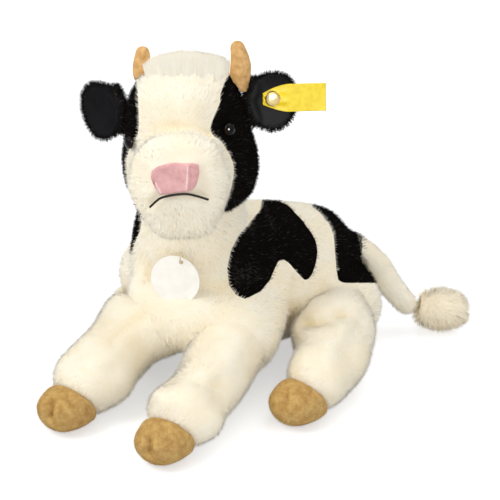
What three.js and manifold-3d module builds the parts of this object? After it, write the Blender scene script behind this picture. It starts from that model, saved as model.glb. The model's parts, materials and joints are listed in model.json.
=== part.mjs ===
// A plush calf lying down: sewn plush covers over fibre filling, velour hooves, felt horns, button
// eyes, a cloth ear label held by a brass button, and a card tag on the chest.
// Millimetres. The origin is on the floor under the belly: +Z up, -Y ahead, +X the calf's left.

import * as THREE from "three";
import { mergeVertices } from "three/addons/utils/BufferGeometryUtils.js";
import Module from "manifold-3d";

const wasm = await Module();
wasm.setup();

// Cloth, seams and seats
const coverThickness = 1.5;
const seamGap = 0.3;
const seamFloor = 0.05;
const seatGap = 0.4;
const restFlat = 0.5;
const meshTolerance = 0.03;
const fillingHole = 7;
const swingGap = 2.9;
const liningGap = 3.2;
const neckSwingGap = 1.5;
const neckSeatGap = 0.95;
const tailSwingGap = 2.2;

// Torso: a curved barrel from the rump to the chest, and a neck that rises from it
const bodyLength = 132;
const bodyWidth = 80;
const bodyHeight = 80;
const neckWidth = 60;
const neckRise = 58;
const chestTurn = 20;
const rumpTurn = 7.4;
const closingSeamLength = 34;
const closingSeamWidth = 1.2;

// Head
const headWidth = 70;
const headHeight = 78;
const headDepth = 64;
const muzzleWidth = 52;
const muzzleHeight = 50;
const muzzleReach = 55;
const headTurn = 32.5;
const headLift = 8;
const headTilt = 6;

// Legs, hooves and tail
const frontLegReach = 96;
const frontLegRadius = 22;
const frontLegBow = 7;
const hindLegReach = 74;
const hindLegRadius = 25;
const hoofWidth = 31;
const hoofHeight = 25;
const hoofReach = 17;
const legLift = 5;
const legSpread = 7;
const pinnedSpread = 3;
const seatShare = 0.62;
const tailReach = 30;
const tailRadius = 9;
const tuftLength = 34;
const tuftRadius = 14;

// Ears, horns, forelock and eyes
const earLength = 27;
const earHeight = 30;
const earCup = 5;
const earLeaf = 2;
const earSwingGap = 1;
const earSweep = 22;
const earDroop = 4;
const hornLength = 24;
const hornRadius = 5.6;
const hornBend = 0.1;
const forelockDepth = 5;
const forelockReach = 46;
const eyeRadius = 3.5;
const eyeHeight = 2.4;
const shankRadius = 1.1;
const shankLength = 7;
const washerRadius = 3.4;
const washerThickness = 1;
const noseRaise = 0.8;
const mouthThreadRadius = 0.6;

// Ear label on its button, and the chest tag on its thread
const buttonRadius = 4.1;
const buttonHeight = 1.8;
const rivetRadius = 1.1;
const rivetPlateRadius = 3.2;
const rivetPlateThickness = 0.8;
const labelWidth = 14.5;
const labelLength = 27;
const labelThickness = 0.7;
const tagRadius = 13.2;
const tagThickness = 1;
const tagHoleRadius = 1.2;
const tagHoleInset = 2.6;
const tagThreadLoop = 2.4;
const tagThreadRadius = 0.35;

const colours = {
  cream: 0xf3eddd,
  black: 0x12100f,
  tan: 0xc49a58,
  felt: 0xd9ab78,
  pink: 0xd9a3a2,
  filling: 0xf7f6f2,
  gloss: 0x0b0706,
  brass: 0xcdb878,
  label: 0xf6d327,
  card: 0xf4f1ea,
  thread: 0x1b1714,
  plastic: 0xe6e4df,
};

const group = new THREE.Group();
const up = new THREE.Vector3(0, 0, 1);

function vector(x, y, z) {
  return new THREE.Vector3(x, y, z);
}

function heading(degrees) {
  const turn = THREE.MathUtils.degToRad(degrees);
  return vector(Math.sin(turn), -Math.cos(turn), 0);
}

function leftOf(degrees) {
  return heading(degrees + 90);
}

// A place given from a centre by how far ahead, how far to the left and at what height it lies
function placed(centre, turn, ahead, left, height) {
  const place = centre.clone().addScaledVector(heading(turn), ahead).addScaledVector(leftOf(turn), left);
  return place.setZ(height);
}

function addMesh(parent, name, geometry, colour, roughness = 0.95, metalness = 0) {
  const material = new THREE.MeshStandardMaterial({ color: colours[colour], roughness, metalness });
  const mesh = new THREE.Mesh(geometry, material);
  mesh.name = name;
  parent.add(mesh);
  return mesh;
}

function toSolid(geometry) {
  const bare = geometry.clone();
  bare.deleteAttribute("normal");
  bare.deleteAttribute("uv");
  const merged = mergeVertices(bare);
  return new wasm.Manifold(new wasm.Mesh({
    numProp: 3,
    vertProperties: new Float32Array(merged.attributes.position.array),
    triVerts: new Uint32Array(merged.index.array),
  }));
}

function toGeometry(solid) {
  const mesh = solid.simplify(meshTolerance).getMesh();
  const geometry = new THREE.BufferGeometry();
  geometry.setAttribute("position", new THREE.BufferAttribute(mesh.vertProperties, mesh.numProp));
  geometry.setIndex(new THREE.BufferAttribute(mesh.triVerts, 1));
  geometry.computeVertexNormals();
  return geometry;
}

// A closed skin through rings of points with a pole at each end
function loft(rings, startPole, endPole) {
  const around = rings[0].length;
  const positions = [...rings.flat(), startPole, endPole].flatMap((point) => point.toArray());
  const start = rings.length * around;
  const last = start - around;
  const index = [];
  for (let i = 0; i < around; i += 1) {
    const next = (i + 1) % around;
    index.push(start, next, i, start + 1, last + i, last + next);
    for (let a = 0; a < last; a += around) {
      index.push(a + i, a + next, a + around + next, a + i, a + around + next, a + around + i);
    }
  }
  const geometry = new THREE.BufferGeometry();
  geometry.setAttribute("position", new THREE.Float32BufferAttribute(positions, 3));
  geometry.setIndex(facesOut(positions, index) ? index : index.reverse());
  return geometry;
}

function facesOut(positions, index) {
  const corner = (i) => vector(...positions.slice(3 * index[i], 3 * index[i] + 3));
  let volume = 0;
  for (let i = 0; i < index.length; i += 3) {
    volume += corner(i).dot(corner(i + 1).cross(corner(i + 2)));
  }
  return volume > 0;
}

// A soft form swept along a curve of points. Each station has half sizes across and along the
// reference direction, both ends are domed, and grow swells or shrinks the whole skin.
function sweep({ points, sizes, reference, domes, around, steps, grow = 0, keelShare = 0, square = 2 }) {
  const path = new THREE.CatmullRomCurve3(points);
  const girth = new THREE.CatmullRomCurve3(sizes.map(([across, along]) => vector(across, along, 0)));
  const domeRings = 3;
  const chordShare = 0.2;
  const rings = [];
  const frameAt = (t) => {
    const tangent = path.getPoint(Math.min(1, t + chordShare)).sub(path.getPoint(Math.max(0, t - chordShare)));
    tangent.normalize();
    const side = tangent.clone().cross(reference).normalize();
    return { tangent, side, rise: side.clone().cross(tangent) };
  };
  const ringAt = (t, shift, scale) => {
    const { tangent, side, rise } = frameAt(t);
    const centre = path.getPoint(t).addScaledVector(tangent, shift);
    const size = girth.getPoint(t);
    const ring = [];
    for (let i = 0; i < around; i += 1) {
      const angle = (2 * Math.PI * i) / around;
      const [c, s] = [Math.cos(angle), Math.sin(angle)];
      const across = Math.sign(c) * Math.abs(c) ** (2 / square) * (1 - keelShare * Math.max(0, -s));
      const along = Math.sign(s) * Math.abs(s) ** (2 / square);
      const point = centre.clone();
      point.addScaledVector(side, across * scale * (size.x + grow));
      point.addScaledVector(rise, along * scale * (size.y + grow));
      ring.push(point);
    }
    return ring;
  };
  for (let k = 1; k < domeRings; k += 1) {
    const angle = (Math.PI / 2) * (k / domeRings);
    rings.push(ringAt(0, -(domes[0] + grow) * Math.cos(angle), Math.sin(angle)));
  }
  for (let k = 0; k <= steps; k += 1) {
    rings.push(ringAt(k / steps, 0, 1));
  }
  for (let k = domeRings - 1; k > 0; k -= 1) {
    const angle = (Math.PI / 2) * (k / domeRings);
    rings.push(ringAt(1, (domes[1] + grow) * Math.cos(angle), Math.sin(angle)));
  }
  const startPole = path.getPoint(0).addScaledVector(frameAt(0).tangent, -domes[0] - grow);
  const endPole = path.getPoint(1).addScaledVector(frameAt(1).tangent, domes[1] + grow);
  return toSolid(loft(rings, startPole, endPole));
}

// A knob that turns in a bowl: its corners lie at the radius, and the bowl's flats do
function knob(centre, radius, around) {
  const geometry = new THREE.SphereGeometry(radius, around, 0.75 * around);
  geometry.translate(centre.x, centre.y, centre.z);
  return toSolid(geometry);
}

function bowl(centre, radius, around) {
  return knob(centre, radius / Math.cos(Math.PI / around), around);
}

// A round bar from one point towards another
function bar(from, to, radius) {
  const span = to.clone().sub(from);
  const geometry = new THREE.CylinderGeometry(radius, radius, span.length(), 12);
  const spin = new THREE.Quaternion().setFromUnitVectors(vector(0, 1, 0), span.normalize());
  const middle = from.clone().add(to).multiplyScalar(0.5);
  geometry.applyMatrix4(new THREE.Matrix4().compose(middle, spin, vector(1, 1, 1)));
  return toSolid(geometry);
}

function moved(solid, matrix) {
  return solid.transform(matrix.elements);
}

function turned(solid, centre, axis, degrees) {
  const matrix = new THREE.Matrix4().makeTranslation(centre);
  matrix.multiply(new THREE.Matrix4().makeRotationAxis(axis, THREE.MathUtils.degToRad(degrees)));
  return moved(solid, matrix.multiply(new THREE.Matrix4().makeTranslation(centre.clone().negate())));
}

// The main body of a solid, without the crumbs that a cut leaves
function whole(solid) {
  const bodies = solid.decompose().sort((a, b) => b.volume() - a.volume());
  return bodies[0];
}

// A closed smooth outline through points of a plane, moved out by grow and extruded from that plane
function outlinePrism(points, depth, matrix, grow = 0) {
  const corners = points.map(([across, rise]) => vector(across, rise, 0));
  const curve = new THREE.CatmullRomCurve3(corners, true, "centripetal");
  const outline = curve.getPoints(points.length * 2).slice(0, -1);
  const spin = THREE.ShapeUtils.isClockWise(outline) ? -1 : 1;
  const grown = outline.map((point, i) => {
    const before = outline[(i + outline.length - 1) % outline.length];
    const after = outline[(i + 1) % outline.length];
    const away = new THREE.Vector2(after.y - before.y, before.x - after.x).setLength(spin * grow);
    return new THREE.Vector2(point.x + away.x, point.y + away.y);
  });
  const geometry = new THREE.ExtrudeGeometry(new THREE.Shape(grown), { depth, bevelEnabled: false });
  geometry.applyMatrix4(matrix);
  return toSolid(geometry);
}

// The nearest place of a surface along a line of sight, with the way it faces there
function surfaceAt(mesh, origin, direction) {
  const hit = new THREE.Raycaster(origin, direction.clone().normalize()).intersectObject(mesh)[0];
  return { point: hit.point, normal: hit.face.normal.clone() };
}

// Torso

const chestCentre = vector(-0.083 * bodyLength, -0.25 * bodyLength, 0);
const rumpCentre = vector(0.1 * bodyLength, 0.235 * bodyLength, 0);

// From the rump to the chest: place to the left and ahead in body lengths, height in body heights,
// then half width and half height in body widths and heights
const barrelShares = [
  [0.11, -0.235, 0.5, 0.45, 0.49],
  [0.06, -0.12, 0.519, 0.5, 0.525],
  [-0.023, 0.03, 0.549, 0.485, 0.555],
  [-0.076, 0.167, 0.6, 0.475, 0.54],
  [-0.08, 0.25, 0.67, 0.44, 0.5],
  [-0.06, 0.31, 0.71, 0.38, 0.43],
];
const barrelPoints = barrelShares.map(
  ([left, ahead, height]) => vector(left * bodyLength, -ahead * bodyLength, height * bodyHeight),
);
const barrelSizes = barrelShares.map(([, , , width, height]) => [width * bodyWidth, height * bodyHeight]);
const barrelDomes = [0.37 * bodyWidth, 0.28 * bodyWidth];

// Up the neck: ahead of and left of the chest in neck widths, height in neck rises above the barrel's
// middle, then half width and half depth in neck widths
const barrelMiddle = 0.6 * bodyHeight;
const neckShares = [
  [-0.1, -0.04, 0, 0.64, 0.58],
  [0, -0.02, 0.36, 0.6, 0.56],
  [0.1, 0.03, 0.74, 0.49, 0.48],
  [0.15, 0.08, 1.05, 0.42, 0.42],
];
const neckPoints = neckShares.map(([ahead, left, rise]) => placed(
  chestCentre,
  chestTurn,
  ahead * neckWidth,
  left * neckWidth,
  barrelMiddle + rise * neckRise,
));
const neckSizes = neckShares.map(([, , , width, depth]) => [width * neckWidth, depth * neckWidth]);
const neckTop = neckPoints[neckPoints.length - 1];

// What lies inside the cloth is drawn with half the facets of what shows
function facets(count, coarse) {
  return coarse ? count / 2 : count;
}

function torsoForm(grow, coarse = false, topGrow = grow) {
  const barrel = sweep({
    points: barrelPoints,
    sizes: barrelSizes,
    reference: up,
    domes: barrelDomes,
    around: facets(16, coarse),
    steps: facets(8, coarse),
    grow,
    keelShare: 0.3,
  });
  const neck = sweep({
    points: neckPoints,
    sizes: neckSizes,
    reference: heading(chestTurn).negate(),
    domes: [0.3 * neckWidth, 0.2 * neckWidth - grow + topGrow],
    around: facets(16, coarse),
    steps: facets(4, coarse),
    grow,
  });
  return barrel.add(neck);
}

// Along a front leg: reach, sideways bow, height left of the root's and radius, each as a share
const frontPathShares = [
  [0, 0, 1, 1],
  [0.26, 0.7, 0.72, 1],
  [0.5, 1, 0.42, 0.98],
  [0.74, 0.7, 0.16, 0.92],
  [1, 0, 0, 0.9],
];
// Along a hind leg, whose shank turns in towards the hoof, in the same way
const hindPathShares = [
  [0, 0, 1, 0.9],
  [0.25, 0.06, 0.72, 1.02],
  [0.5, 0.1, 0.33, 0.92],
  [0.77, 0.11, 0.08, 0.8],
  [0.93, 0.02, 0, 0.74],
];
const frontLeg = { shares: frontPathShares, reach: frontLegReach, radius: frontLegRadius, bow: frontLegBow };
const hindLeg = { shares: hindPathShares, reach: hindLegReach, radius: hindLegRadius, bow: hindLegReach };

// A limb's root lies inside the torso. The knob it turns on lies nearer the torso's surface, ahead of
// the root and out from it by shares of the leg's radius.
function limbAt({ kind, centre, centreTurn, shares: [ahead, left, height], seat = [0, 0.23], turn, bowSide, swing }) {
  const root = placed(centre, centreTurn, ahead * bodyLength, left * bodyWidth, height * bodyHeight);
  const side = Math.sign(left);
  const lifts = kind === frontLeg;
  return {
    ...kind,
    root,
    turn,
    bowSide,
    seat: placed(root, turn, seat[0] * kind.radius, side * seat[1] * kind.radius, 0).setZ(root.z),
    seatRadius: seatShare * kind.radius,
    axis: lifts ? leftOf(turn).negate() : up.clone().multiplyScalar(side),
    swing,
  };
}

const front = { kind: frontLeg, centre: chestCentre, centreTurn: chestTurn, swing: legLift };
const hind = { kind: hindLeg, centre: rumpCentre, centreTurn: rumpTurn };
const limbs = {
  front_right: limbAt({ ...front, shares: [-0.13, -0.32, 0.58], turn: 16, bowSide: 1 }),
  front_left: limbAt({ ...front, shares: [-0.03, 0.32, 0.455], seat: [0.45, 0.23], turn: 20.5, bowSide: 1 }),
  hind_left: limbAt({ ...hind, shares: [0.09, 0.3, 0.38], turn: 30, bowSide: 1, swing: legSpread }),
  hind_right: limbAt({
    ...hind,
    shares: [0.09, -0.3, 0.38],
    seat: [0.3, 0.6],
    turn: -20,
    bowSide: -1,
    swing: pinnedSpread,
  }),
};

function legPath(limb) {
  const points = limb.shares.map(([along, side, rise, radius]) => placed(
    limb.root,
    limb.turn,
    along * limb.reach,
    side * limb.bow * limb.bowSide,
    THREE.MathUtils.lerp(radius * limb.radius, limb.root.z, rise) - restFlat,
  ));
  const sizes = limb.shares.map(([, , , radius]) => [radius * limb.radius, radius * limb.radius]);
  return { points, sizes };
}

function legForm(limb, grow, coarse = false) {
  const { points, sizes } = legPath(limb);
  return sweep({
    points,
    sizes,
    reference: up,
    domes: [sizes[0][0], 0.55 * sizes[sizes.length - 1][0]],
    around: facets(12, coarse),
    steps: facets(6, coarse),
    grow,
  });
}

const tail = {
  root: placed(rumpCentre, rumpTurn, -0.133 * bodyLength, 0.255 * bodyWidth, 0.62 * bodyHeight),
  turn: 128,
};
// Along the tail: reach, height left of the root's and radius, each as a share
const tailPathShares = [
  [0, 1, 1.1],
  [0.4, 0.8, 0.95],
  [0.75, 0.35, 0.85],
  [1.05, 0.05, 0.75],
];
const tailPoints = tailPathShares.map(([along, rise]) => placed(
  tail.root,
  tail.turn,
  along * tailReach,
  0,
  THREE.MathUtils.lerp(tuftRadius, tail.root.z, rise),
));
const tailSizes = tailPathShares.map(([, , radius]) => [radius * tailRadius, radius * tailRadius]);
const tailRootRadius = tailSizes[0][0];

// The floor presses every soft form flat at the same height
function pressedFlat(solid, inset) {
  const size = 6 * bodyLength;
  const box = new THREE.BoxGeometry(size, size, size);
  box.translate(0, 0, -size / 2 + inset);
  return solid.subtract(toSolid(box));
}

// The torso with its bowls. At an inset it is the space inside the cloth.
function torsoBody(inset) {
  const coarse = inset > 0;
  let solid = torsoForm(-inset, coarse);
  for (const limb of Object.values(limbs)) {
    solid = solid.subtract(bowl(limb.seat, limb.seatRadius + seatGap + inset, coarse ? 8 : 12));
  }
  solid = solid.subtract(bowl(tail.root, tailRootRadius + seatGap + inset, coarse ? 8 : 12));
  return pressedFlat(solid, inset);
}

const torsoOuter = torsoBody(0);
const torsoInner = torsoBody(coverThickness);
const torsoShell = torsoOuter.subtract(torsoInner);
const torsoFilling = torsoBody(coverThickness + seamGap);

// The closing seam under the rear of the belly, where the filling went in
const seamBox = new THREE.BoxGeometry(closingSeamWidth, closingSeamLength, 6 * coverThickness);
seamBox.translate(0.075 * bodyLength, 0.18 * bodyLength, 0);
const torsoCover = torsoShell.subtract(toSolid(seamBox));

// Black panels of the torso. Each is drawn on an upright plane by how far ahead of the chest and how
// high it lies, in body lengths and body heights, and is cut out of the cover on one side or right
// over the back.
const patchShares = {
  shoulder_patch_left: {
    turn: -20,
    side: 1,
    outline: [
      [-0.25, 1.16],
      [-0.16, 1.2],
      [-0.04, 1.1],
      [-0.01, 0.9],
      [-0.03, 0.68],
      [-0.1, 0.58],
      [-0.19, 0.66],
      [-0.23, 0.78],
      [-0.29, 0.81],
      [-0.33, 0.73],
      [-0.37, 0.64],
      [-0.42, 0.7],
      [-0.455, 0.85],
      [-0.43, 1.02],
      [-0.36, 1.16],
    ],
  },
  shoulder_patch_right: {
    turn: 30,
    side: -1,
    outline: [
      [-0.14, 1.16],
      [0.14, 1.12],
      [0.13, 1],
      [0.03, 0.8],
      [-0.06, 0.74],
      [-0.18, 0.82],
      [-0.22, 1.02],
    ],
  },
  rump_patch: {
    turn: -20,
    side: 0,
    outline: [
      [-0.5, 1.2],
      [-0.55, 0.98],
      [-0.571, 0.9],
      [-0.556, 0.82],
      [-0.535, 0.72],
      [-0.54, 0.58],
      [-0.62, 0.47],
      [-0.95, 0.44],
      [-0.95, 1.2],
    ],
  },
};

function patchPrism({ turn, side, outline }, grow) {
  const corners = outline.map(([ahead, rise]) => [ahead * bodyLength, rise * bodyHeight]);
  const depth = side === 0 ? 3 * bodyWidth : bodyWidth;
  const reach = side === 0 ? depth / 2 : Math.max(0, side * depth);
  const start = chestCentre.clone().addScaledVector(leftOf(turn), reach);
  const matrix = new THREE.Matrix4().makeBasis(heading(turn), up, leftOf(turn).negate());
  return outlinePrism(corners, depth, matrix.setPosition(start), grow);
}

let coverCream = torsoCover;
for (const [name, patch] of Object.entries(patchShares)) {
  const panel = whole(torsoShell.intersect(patchPrism(patch, 0)));
  addMesh(group, name, toGeometry(panel), "black");
  coverCream = coverCream.subtract(patchPrism(patch, seamGap));
}
addMesh(group, "torso_cover", toGeometry(whole(coverCream)), "cream");
addMesh(group, "torso_filling", toGeometry(torsoFilling), "filling");

// Legs

// A leg is cut clear of the torso, and of a leg it crosses, near the middle of its swing. The space
// inside its cloth is cut with coarser forms that stand further off. A copy of the torso moved along
// the leg keeps the leg off where the torso bends.
function legSolid(limb, inset, crossed) {
  const coarse = inset > 0;
  const gap = coarse ? swingGap + inset + liningGap : swingGap;
  const shift = heading(limb.turn).setLength(0.8 * gap);
  const copy = moved(torsoForm(seamGap, coarse), new THREE.Matrix4().makeTranslation(shift));
  const seatKnob = knob(limb.seat, limb.seatRadius - inset, coarse ? 8 : 12);
  let obstacle = torsoForm(gap, coarse).add(copy).subtract(seatKnob);
  if (crossed) {
    obstacle = obstacle.add(legForm(crossed, gap, coarse));
  }
  const swungBack = turned(obstacle, limb.seat, limb.axis, -0.6 * limb.swing);
  return whole(pressedFlat(legForm(limb, -inset, coarse).subtract(swungBack), inset));
}

for (const [name, limb] of Object.entries(limbs)) {
  const crossed = name === "hind_right" ? limbs.front_right : null;
  const [outer, inner, filling] = [0, coverThickness, coverThickness + seamGap].map(
    (inset) => legSolid(limb, inset, crossed),
  );
  const { points } = legPath(limb);
  const inward = limb.root.clone().lerp(limb.seat, -2);
  const opening = bar(limb.seat, inward, fillingHole);
  addMesh(group, `leg_${name}_cover`, toGeometry(whole(outer.subtract(inner).subtract(opening))), "cream");
  addMesh(group, `leg_${name}_filling`, toGeometry(filling), "filling");

  const end = points[points.length - 1];
  const forward = end.clone().sub(points[points.length - 2]).setZ(0).normalize();
  const hoofPoints = [0.1, 0.55, 1].map(
    (along) => end.clone().addScaledVector(forward, along * hoofReach).setZ(hoofHeight / 2 - restFlat),
  );
  const hoof = sweep({
    points: hoofPoints,
    sizes: [0.46, 0.5, 0.46].map((share) => [share * hoofWidth, share * hoofHeight]),
    reference: up,
    domes: [0.2 * hoofWidth, 0.36 * hoofWidth],
    around: 12,
    steps: 3,
  });
  let trimmed = hoof.subtract(legForm(limb, seamGap));
  if (crossed) {
    trimmed = trimmed.subtract(legForm(crossed, swingGap));
  }
  addMesh(group, `hoof_${name}`, toGeometry(pressedFlat(trimmed, 0)), "tan", 0.85);
}

// Tail

function tailForm(grow) {
  return sweep({
    points: tailPoints,
    sizes: tailSizes,
    reference: up,
    domes: [tailRootRadius, 0.8 * tailSizes[tailSizes.length - 1][0]],
    around: 10,
    steps: 5,
    grow,
  });
}

const tailObstacle = torsoForm(tailSwingGap).subtract(knob(tail.root, tailRootRadius, 12));
addMesh(group, "tail", toGeometry(whole(tailForm(0).subtract(tailObstacle))), "cream");

const tuftStart = placed(tail.root, tail.turn, 1.1 * tailReach, 0, tuftRadius - restFlat);
const tuftPoints = [0.2, 0.5, 0.75].map(
  (along) => tuftStart.clone().addScaledVector(heading(tail.turn), along * tuftLength),
);
const tuft = sweep({
  points: tuftPoints,
  sizes: [0.8, 1, 0.85].map((share) => [share * tuftRadius, share * tuftRadius]),
  reference: up,
  domes: [0.2 * tuftLength, 0.25 * tuftLength],
  around: 12,
  steps: 3,
});
addMesh(group, "tail_tuft", toGeometry(pressedFlat(tuft.subtract(tailForm(seamGap)), 0)), "cream");

// Head, in its own frame: the origin at the middle of the skull, -Y towards the nose

const headGroup = new THREE.Group();
headGroup.position.copy(neckTop);
headGroup.position.addScaledVector(heading(headTurn), 0.08 * headDepth);
headGroup.position.addScaledVector(leftOf(headTurn), -0.05 * headWidth);
headGroup.position.z += 0.53 * headHeight;
headGroup.rotation.set(
  THREE.MathUtils.degToRad(-headLift),
  THREE.MathUtils.degToRad(-headTilt),
  THREE.MathUtils.degToRad(headTurn),
  "ZXY",
);
group.add(headGroup);
group.updateMatrixWorld(true);
const headFromWorld = headGroup.matrixWorld.clone().invert();

// Rings down the head: height in head heights, half width in head widths, reach ahead and behind in
// head depths
const skullShares = [
  [0.34, 0.2, 0.19, 0.22],
  [0.28, 0.32, 0.34, 0.36],
  [0.17, 0.415, 0.46, 0.46],
  [-0.08, 0.475, 0.52, 0.47],
  [-0.28, 0.52, 0.52, 0.44],
  [-0.43, 0.515, 0.5, 0.4],
  [-0.56, 0.46, 0.45, 0.3],
  [-0.67, 0.31, 0.34, 0.18],
];

function skullForm(grow, coarse = false) {
  const around = facets(20, coarse);
  const rings = skullShares.map(([height, width, ahead, behind]) => {
    const ring = [];
    for (let i = 0; i < around; i += 1) {
      const angle = (2 * Math.PI * i) / around;
      const reach = Math.sin(angle) < 0 ? ahead : behind;
      ring.push(vector(
        Math.cos(angle) * (width * headWidth + grow),
        Math.sin(angle) * (reach * headDepth + grow),
        height * headHeight + grow * Math.sign(height) * THREE.MathUtils.smoothstep(Math.abs(height), 0.15, 0.4),
      ));
    }
    return ring;
  });
  const top = vector(0, 0, 0.38 * headHeight + grow);
  const bottom = vector(0, 0, -0.72 * headHeight - grow);
  return toSolid(loft(rings, top, bottom));
}

function muzzleForm(grow, coarse = false) {
  const dome = 0.24 * muzzleReach;
  const points = [0.1, 0.45, 1].map(
    (share) => vector(0, -share * (muzzleReach - dome), -0.29 * headHeight - 0.03 * share * headHeight),
  );
  return sweep({
    points,
    sizes: [[0.42, 0.4], [0.48, 0.47], [0.5, 0.5]].map(
      ([width, height]) => [width * muzzleWidth, height * muzzleHeight],
    ),
    reference: up,
    domes: [dome, dome],
    around: facets(20, coarse),
    steps: 3,
    grow,
    square: 2.4,
  });
}

// The head sits on the top of the neck and stands further off its sides
function headSolid(inset) {
  const coarse = inset > 0;
  const lining = coarse ? inset + liningGap : 0;
  const torso = torsoForm(neckSwingGap + lining, coarse, neckSeatGap + lining);
  const neck = moved(torso, headFromWorld);
  return whole(skullForm(-inset, coarse).add(muzzleForm(-inset, coarse)).subtract(neck));
}

const headOuter = headSolid(0);
const headShell = headOuter.subtract(headSolid(coverThickness));
const headSkin = new THREE.Mesh(toGeometry(headOuter));
let headCover = headShell;
let headFilling = headSolid(coverThickness + seamGap);

// Front views are drawn by the distance to the left in head widths and the height in head heights
const frontView = new THREE.Matrix4().makeBasis(vector(1, 0, 0), up, vector(0, -1, 0));
const ahead = vector(0, -1, 0);

function frontPlace([left, height]) {
  return [left * headWidth, height * headHeight];
}

function onFace(place) {
  const [left, height] = frontPlace(place);
  return surfaceAt(headSkin, vector(left, -2 * muzzleReach, height), vector(0, 1, 0));
}

// Black cheek panels, from the blaze on the forehead round to the back of the head
const cheekShares = [
  [0.33, 0.24],
  [0.31, 0.14],
  [0.27, 0.06],
  [0.23, -0.03],
  [0.29, -0.1],
  [0.35, -0.2],
  [0.37, -0.32],
  [0.34, -0.42],
  [0.3, -0.5],
  [0.25, -0.62],
  [0.24, -0.74],
  [0.6, -0.76],
  [0.75, -0.2],
  [0.6, 0.24],
];
const eyeShares = { left: [0.356, -0.05], right: [-0.366, -0.1] };
const sides = { left: 1, right: -1 };

function lathed(profile, place, facing, segments) {
  const points = profile.map(([radius, height]) => new THREE.Vector2(radius, height));
  const geometry = new THREE.LatheGeometry(points, segments);
  if (!facesOut(geometry.attributes.position.array, geometry.index.array)) {
    geometry.index.array.reverse();
  }
  const spin = new THREE.Quaternion().setFromUnitVectors(vector(0, 1, 0), facing);
  geometry.applyMatrix4(new THREE.Matrix4().compose(place, spin, vector(1, 1, 1)));
  return toSolid(geometry);
}

for (const [side, sign] of Object.entries(sides)) {
  const outline = cheekShares.map(([left, height]) => frontPlace([sign * left, height]));
  const behind = frontView.clone().setPosition(0, headDepth, 0);
  const depth = 1.48 * headDepth;
  const stock = outlinePrism(outline, depth, behind).subtract(muzzleForm(seamGap + seamFloor));
  const stockHole = outlinePrism(outline, depth + seamGap, behind, seamGap);
  let panel = whole(headShell.intersect(stock));
  headCover = headCover.subtract(stockHole.subtract(muzzleForm(seamFloor)));

  const { point, normal } = onFace(eyeShares[side]);
  const seat = point.clone().addScaledVector(normal, seamGap);
  const shankEnd = seat.clone().addScaledVector(normal, -shankLength);
  const dome = [0, 0.35, 0.65, 0.88].map((share) => {
    const angle = (share * Math.PI) / 2;
    return [eyeRadius * Math.sin(angle), eyeHeight * Math.cos(angle)];
  });
  const eyeProfile = [...dome, [eyeRadius, 0], [shankRadius, 0], [shankRadius, -shankLength], [0, -shankLength]];
  addMesh(headGroup, `eye_${side}`, toGeometry(lathed(eyeProfile, seat, normal, 14)), "gloss", 0.15);

  const washerPlace = seat.clone().addScaledVector(normal, -shankLength + 2 * washerThickness);
  const washerProfile = [
    [shankRadius + seamGap, 0],
    [washerRadius, 0],
    [washerRadius, washerThickness],
    [shankRadius + seamGap, washerThickness],
    [shankRadius + seamGap, 0],
  ];
  const washer = lathed(washerProfile, washerPlace, normal, 14);
  addMesh(headGroup, `eye_washer_${side}`, toGeometry(washer), "plastic", 0.5);
  const shankHole = bar(seat, shankEnd, shankRadius + seamGap);
  panel = panel.subtract(shankHole);
  headCover = headCover.subtract(shankHole);
  const pocketEnd = shankEnd.clone().addScaledVector(normal, -seamGap);
  headFilling = headFilling.subtract(bar(seat, pocketEnd, washerRadius + seamGap));
  addMesh(headGroup, `cheek_panel_${side}`, toGeometry(whole(panel)), "black");
}

// Nose: a raised velour panel let into the cover
const noseShares = [
  [-0.14, -0.19],
  [-0.05, -0.155],
  [0.02, -0.15],
  [0.1, -0.158],
  [0.18, -0.17],
  [0.17, -0.26],
  [0.13, -0.315],
  [0.02, -0.322],
  [-0.09, -0.33],
  [-0.14, -0.26],
];
const noseBack = frontView.clone().setPosition(0, -0.4 * muzzleReach, 0);
const noseStock = muzzleForm(noseRaise).subtract(headSolid(coverThickness));
const nosePrism = (grow) => outlinePrism(noseShares.map(frontPlace), muzzleReach, noseBack, grow);
addMesh(headGroup, "nose_panel", toGeometry(whole(noseStock.intersect(nosePrism(0)))), "pink");
headCover = headCover.subtract(nosePrism(seamGap));

// Mouth: one embroidered thread in a low arch under the nose
const mouthShares = [
  [-0.18, -0.42],
  [-0.1, -0.362],
  [-0.035, -0.345],
  [0.045, -0.338],
  [0.1, -0.342],
  [0.155, -0.358],
  [0.23, -0.395],
];
const mouthPlaces = mouthShares.map((place) => {
  const { point, normal } = onFace(place);
  return point.addScaledVector(normal, mouthThreadRadius + seatGap);
});
const threadShape = new THREE.Shape().absarc(0, 0, mouthThreadRadius, 0, 2 * Math.PI);
const mouthTube = new THREE.ExtrudeGeometry(threadShape, {
  steps: 18,
  curveSegments: 3,
  extrudePath: new THREE.CatmullRomCurve3(mouthPlaces),
});
addMesh(headGroup, "mouth_thread", mouthTube, "thread");

const grownHead = skullForm(seamGap).add(muzzleForm(seamGap));

// Horns: felt cones that lean in a little towards their round tips
const hornShares = { left: 0.4, right: -0.26 };
const horns = {};
for (const [side, sign] of Object.entries(sides)) {
  const foot = vector(hornShares[side] * headWidth, 0.03 * headDepth, 0.16 * headHeight);
  const points = [
    foot,
    foot.clone().add(vector(sign * hornBend * hornLength, 0, 0.5 * hornLength)),
    foot.clone().add(vector(sign * 0.6 * hornBend * hornLength, 0, 0.88 * hornLength)),
  ];
  horns[side] = (grow) => sweep({
    points,
    sizes: [1, 0.95, 0.66].map((share) => [share * hornRadius, share * hornRadius]),
    reference: ahead,
    domes: [0.3 * hornRadius, 0.6 * hornRadius],
    around: 12,
    steps: 4,
    grow,
  });
  addMesh(headGroup, `horn_${side}`, toGeometry(whole(horns[side](0).subtract(grownHead))), "felt");
}

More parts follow.
